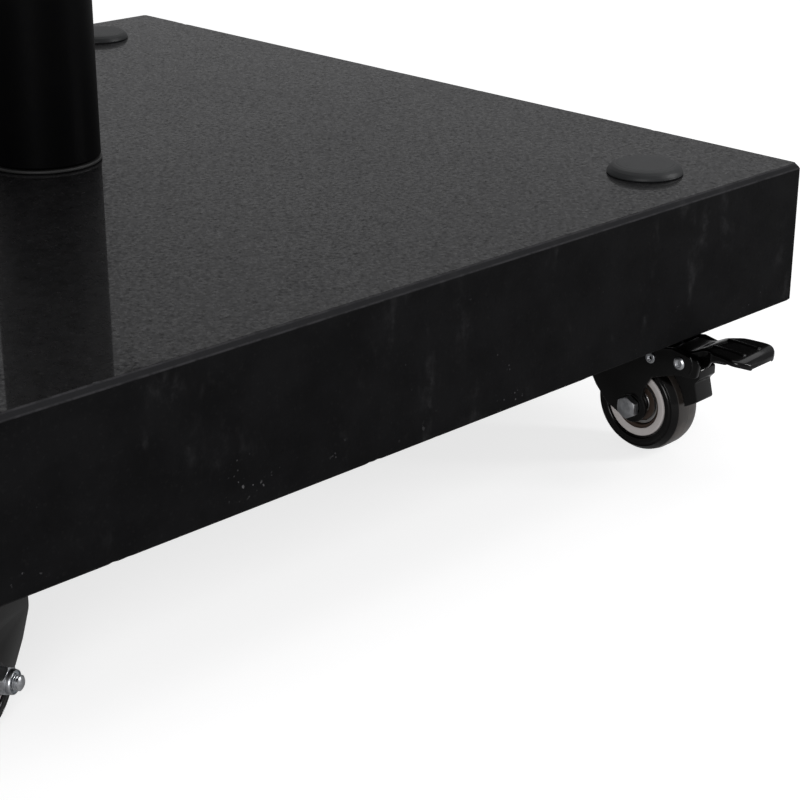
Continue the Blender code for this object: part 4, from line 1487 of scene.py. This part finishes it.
    def channel(self, half_width: float, top: float, drop: float) -> list[Point]:
        """Draw the pedal's section, a sheet with both edges bent down.

        Args:
            half_width: half its width.
            top: the height of its upper side.
            drop: how far its edges reach below that.

        Returns:
            Its outline as (y, z) points.
        """
        sheet = self.pedal_sheet
        inner = half_width - sheet
        under = top - sheet
        right = [(half_width, top - drop), (half_width, top)]
        left = [(-y, z) for y, z in reversed(right)]
        hollow = [(-inner, top - drop), (-inner, under - 0.0002), (inner, under - 0.0002),
                  (inner, top - drop)]
        return filleted(right + left + hollow, 0.0016, 4)

    def pedal(self, palette: Palette) -> None:
        """Make the stamped pedal, with two pressed ribs along its foot pad."""
        sections = []
        for x, half_width, top, drop in smooth_between(self.pedal_stations(), 5):
            sections.append([Vector((x, y, z)) for y, z in self.channel(half_width, top, drop)])
        shapes = [softened(lofted(sections), 0.0003, 2)]
        pad_top = -self.pad_below_slab - self.pivot.z
        for across in (-0.0060, 0.0060):
            middle = (self.pedal_reach - 0.0145, across, pad_top - 0.0003)
            rib = block((0.0185, 0.0026, 0.0018), middle, 0.00085, 4)
            shapes.append(moved(rib, Matrix.Rotation(math.radians(0.5), 4, "Y")))
        place = self.place @ Matrix.Translation(self.pivot)
        piece(f"{self.name}_brake_pedal", f"{self.name}_pedal", together(*shapes), [palette.dip],
              place, 42.0)

    def pedal_pin(self, palette: Palette) -> None:
        """Make the rivet that the pedal turns on, with a rolled ring and a dimple at each end."""
        seat = self.leg_outer + GAP
        half = [(0, seat + 0.0002), (0.0011, seat + 0.0003), (0.0015, seat + 0.0011),
                (0.0022, seat + 0.0012), (self.pin_head, seat + 0.0005), (self.pin_head, seat),
                (self.pin_radius, seat)]
        profile = half + [(across, -height) for across, height in reversed(half)]
        piece(f"{self.name}_pedal_pin", f"{self.name}_fork",
              revolved(filleted(profile, 0.0004, 3, False), 48), [palette.zinc],
              self.at(self.pivot))

    def shoe(self, palette: Palette) -> None:
        """Make the brake shoe: an eye, an arm over the tyre and a toothed block behind it."""
        wheel = self.axle - self.rivet
        pin = self.pivot - self.rivet
        clear = self.shoe_wheel + self.shoe_gap
        under_pin = pin.z - self.pin_radius - 0.0012
        back = wheel.x + clear
        half = self.leg_inner - 0.0005 - self.pedal_sheet - self.shoe_side_room
        outline = arc((0, 0), self.shoe_eye, 75, 240, 16)
        for step in range(19):
            lean = math.radians(58 - 48 * step / 18)
            reach = clear + (0.0004 if step % 2 else 0.0)
            outline.append((wheel.x + reach * math.cos(lean), wheel.z + reach * math.sin(lean)))
        outline += filleted([(back + 0.0010, wheel.z + 0.0052), (back + 0.0072, wheel.z + 0.0088),
                             (back + 0.0050, wheel.z + 0.0180), (back + 0.0076, wheel.z + 0.0208),
                             (pin.x + 0.0066, under_pin), (pin.x - 0.0040, under_pin),
                             (pin.x - 0.0080, self.shoe_eye - 0.0022)], 0.0016, 5, False)
        shape = softened(raised(outline, -half, half), 0.0005, 3)
        piece(f"{self.name}_brake_shoe", f"{self.name}_shoe", shape, [palette.dip],
              self.at(self.rivet))


# =============================================================================================
# Studio
# =============================================================================================
@dataclass
class Studio:
    """A pale floor, soft light and the camera."""

    camera_place: tuple[float, float, float] = (-0.518, -0.780, 0.3857)
    heading: float = 45.78
    pitch: float = 22.1
    focal_share: float = 2.435        # focal length as a share of the frame's width
    sensor: float = 36.0
    room_light: float = 0.30
    backdrop: float = 1.0
    sun_strength: float = 0.95
    lamp_aim: tuple[float, float, float] = (0.19, -0.22, 0.03)

    def build(self) -> None:
        """Make everything that isn't the object."""
        self.floor()
        self.world()
        self.lights()
        self.camera()
        bpy.context.scene.view_settings.view_transform = "Standard"

    def floor(self) -> None:
        """Lay the floor."""
        shape = bmesh.new()
        bmesh.ops.create_grid(shape, x_segments=1, y_segments=1, size=30.0)
        item = as_object("studio_floor", shape, Matrix.Translation((0, 0, -0.0002)), 30.0)
        item.data.materials.append(StudioFloor().make())

    def world(self) -> None:
        """Light the room evenly, with a paler wall where the camera looks at it directly."""
        world = bpy.data.worlds.new("studio_room")
        bpy.context.scene.world = world
        world.use_nodes = True
        nodes, links = world.node_tree.nodes, world.node_tree.links
        light = nodes["Background"]
        light.inputs["Color"].default_value = (0.985, 0.985, 1.0, 1.0)
        light.inputs["Strength"].default_value = self.room_light
        wall = nodes.new("ShaderNodeBackground")
        wall.inputs["Strength"].default_value = self.backdrop
        ray = nodes.new("ShaderNodeLightPath")
        choice = nodes.new("ShaderNodeMixShader")
        links.new(ray.outputs["Is Camera Ray"], choice.inputs[0])
        links.new(light.outputs[0], choice.inputs[1])
        links.new(wall.outputs[0], choice.inputs[2])
        links.new(choice.outputs[0], nodes["World Output"].inputs["Surface"])

    def lights(self) -> None:
        """Hang a wide soft lamp overhead and two area lamps in front."""
        sun = bpy.data.lights.new("soft_overhead", "SUN")
        sun.energy = self.sun_strength
        sun.angle = math.radians(70)
        overhead = bpy.data.objects.new("soft_overhead", sun)
        overhead.rotation_euler = (math.radians(-14), math.radians(20), 0)
        bpy.context.scene.collection.objects.link(overhead)
        self.strip("right_strip", (1.15, -1.25, 0.75), (0.16, 0.9), 11.0)
        self.strip("left_fill", (-1.05, -1.00, 0.42), (0.60, 0.60), 7.0)

    def strip(self, name: str, place: tuple[float, float, float], size: tuple[float, float],
              watts: float) -> None:
        """Hang an area lamp that faces the slab's near right corner.

        Args:
            name: the lamp's name.
            place: where it hangs.
            size: its width and height.
            watts: its power.
        """
        lamp = bpy.data.lights.new(name, "AREA")
        lamp.shape = "RECTANGLE"
        lamp.size, lamp.size_y = size
        lamp.energy = watts
        item = bpy.data.objects.new(name, lamp)
        item.location = place
        aim = Vector(self.lamp_aim) - Vector(place)
        item.rotation_euler = aim.to_track_quat("-Z", "Y").to_euler()
        bpy.context.scene.collection.objects.link(item)

    def camera(self) -> None:
        """Set up the camera."""
        lens = bpy.data.cameras.new("studio_camera")
        lens.sensor_width = self.sensor
        lens.lens = self.sensor * self.focal_share
        lens.clip_start = 0.05
        lens.clip_end = 100.0
        item = bpy.data.objects.new("studio_camera", lens)
        item.location = self.camera_place
        item.rotation_euler = (math.radians(90 - self.pitch), 0, math.radians(self.heading - 90))
        bpy.context.scene.collection.objects.link(item)
        bpy.context.scene.camera = item


def main() -> None:
    """Build the base and the studio."""
    logging.basicConfig(level=logging.INFO, format="%(name)s: %(message)s")
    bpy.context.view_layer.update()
    low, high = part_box("granite_slab")
    palette = Palette.mixed(high.z, low.z)
    casters = [Caster(name, high.z, low.z)
               for name in ("front_left", "front_right", "rear_left", "rear_right")]
    GraniteSlab().build(palette, [caster.stem for caster in casters])
    PoleSocket().build(palette)
    for name in ("upper", "lower"):
        ClampKnob(name).build(palette)
    for caster in casters:
        caster.build(palette)
    Studio().build()


if __name__ == "__main__":
    main()
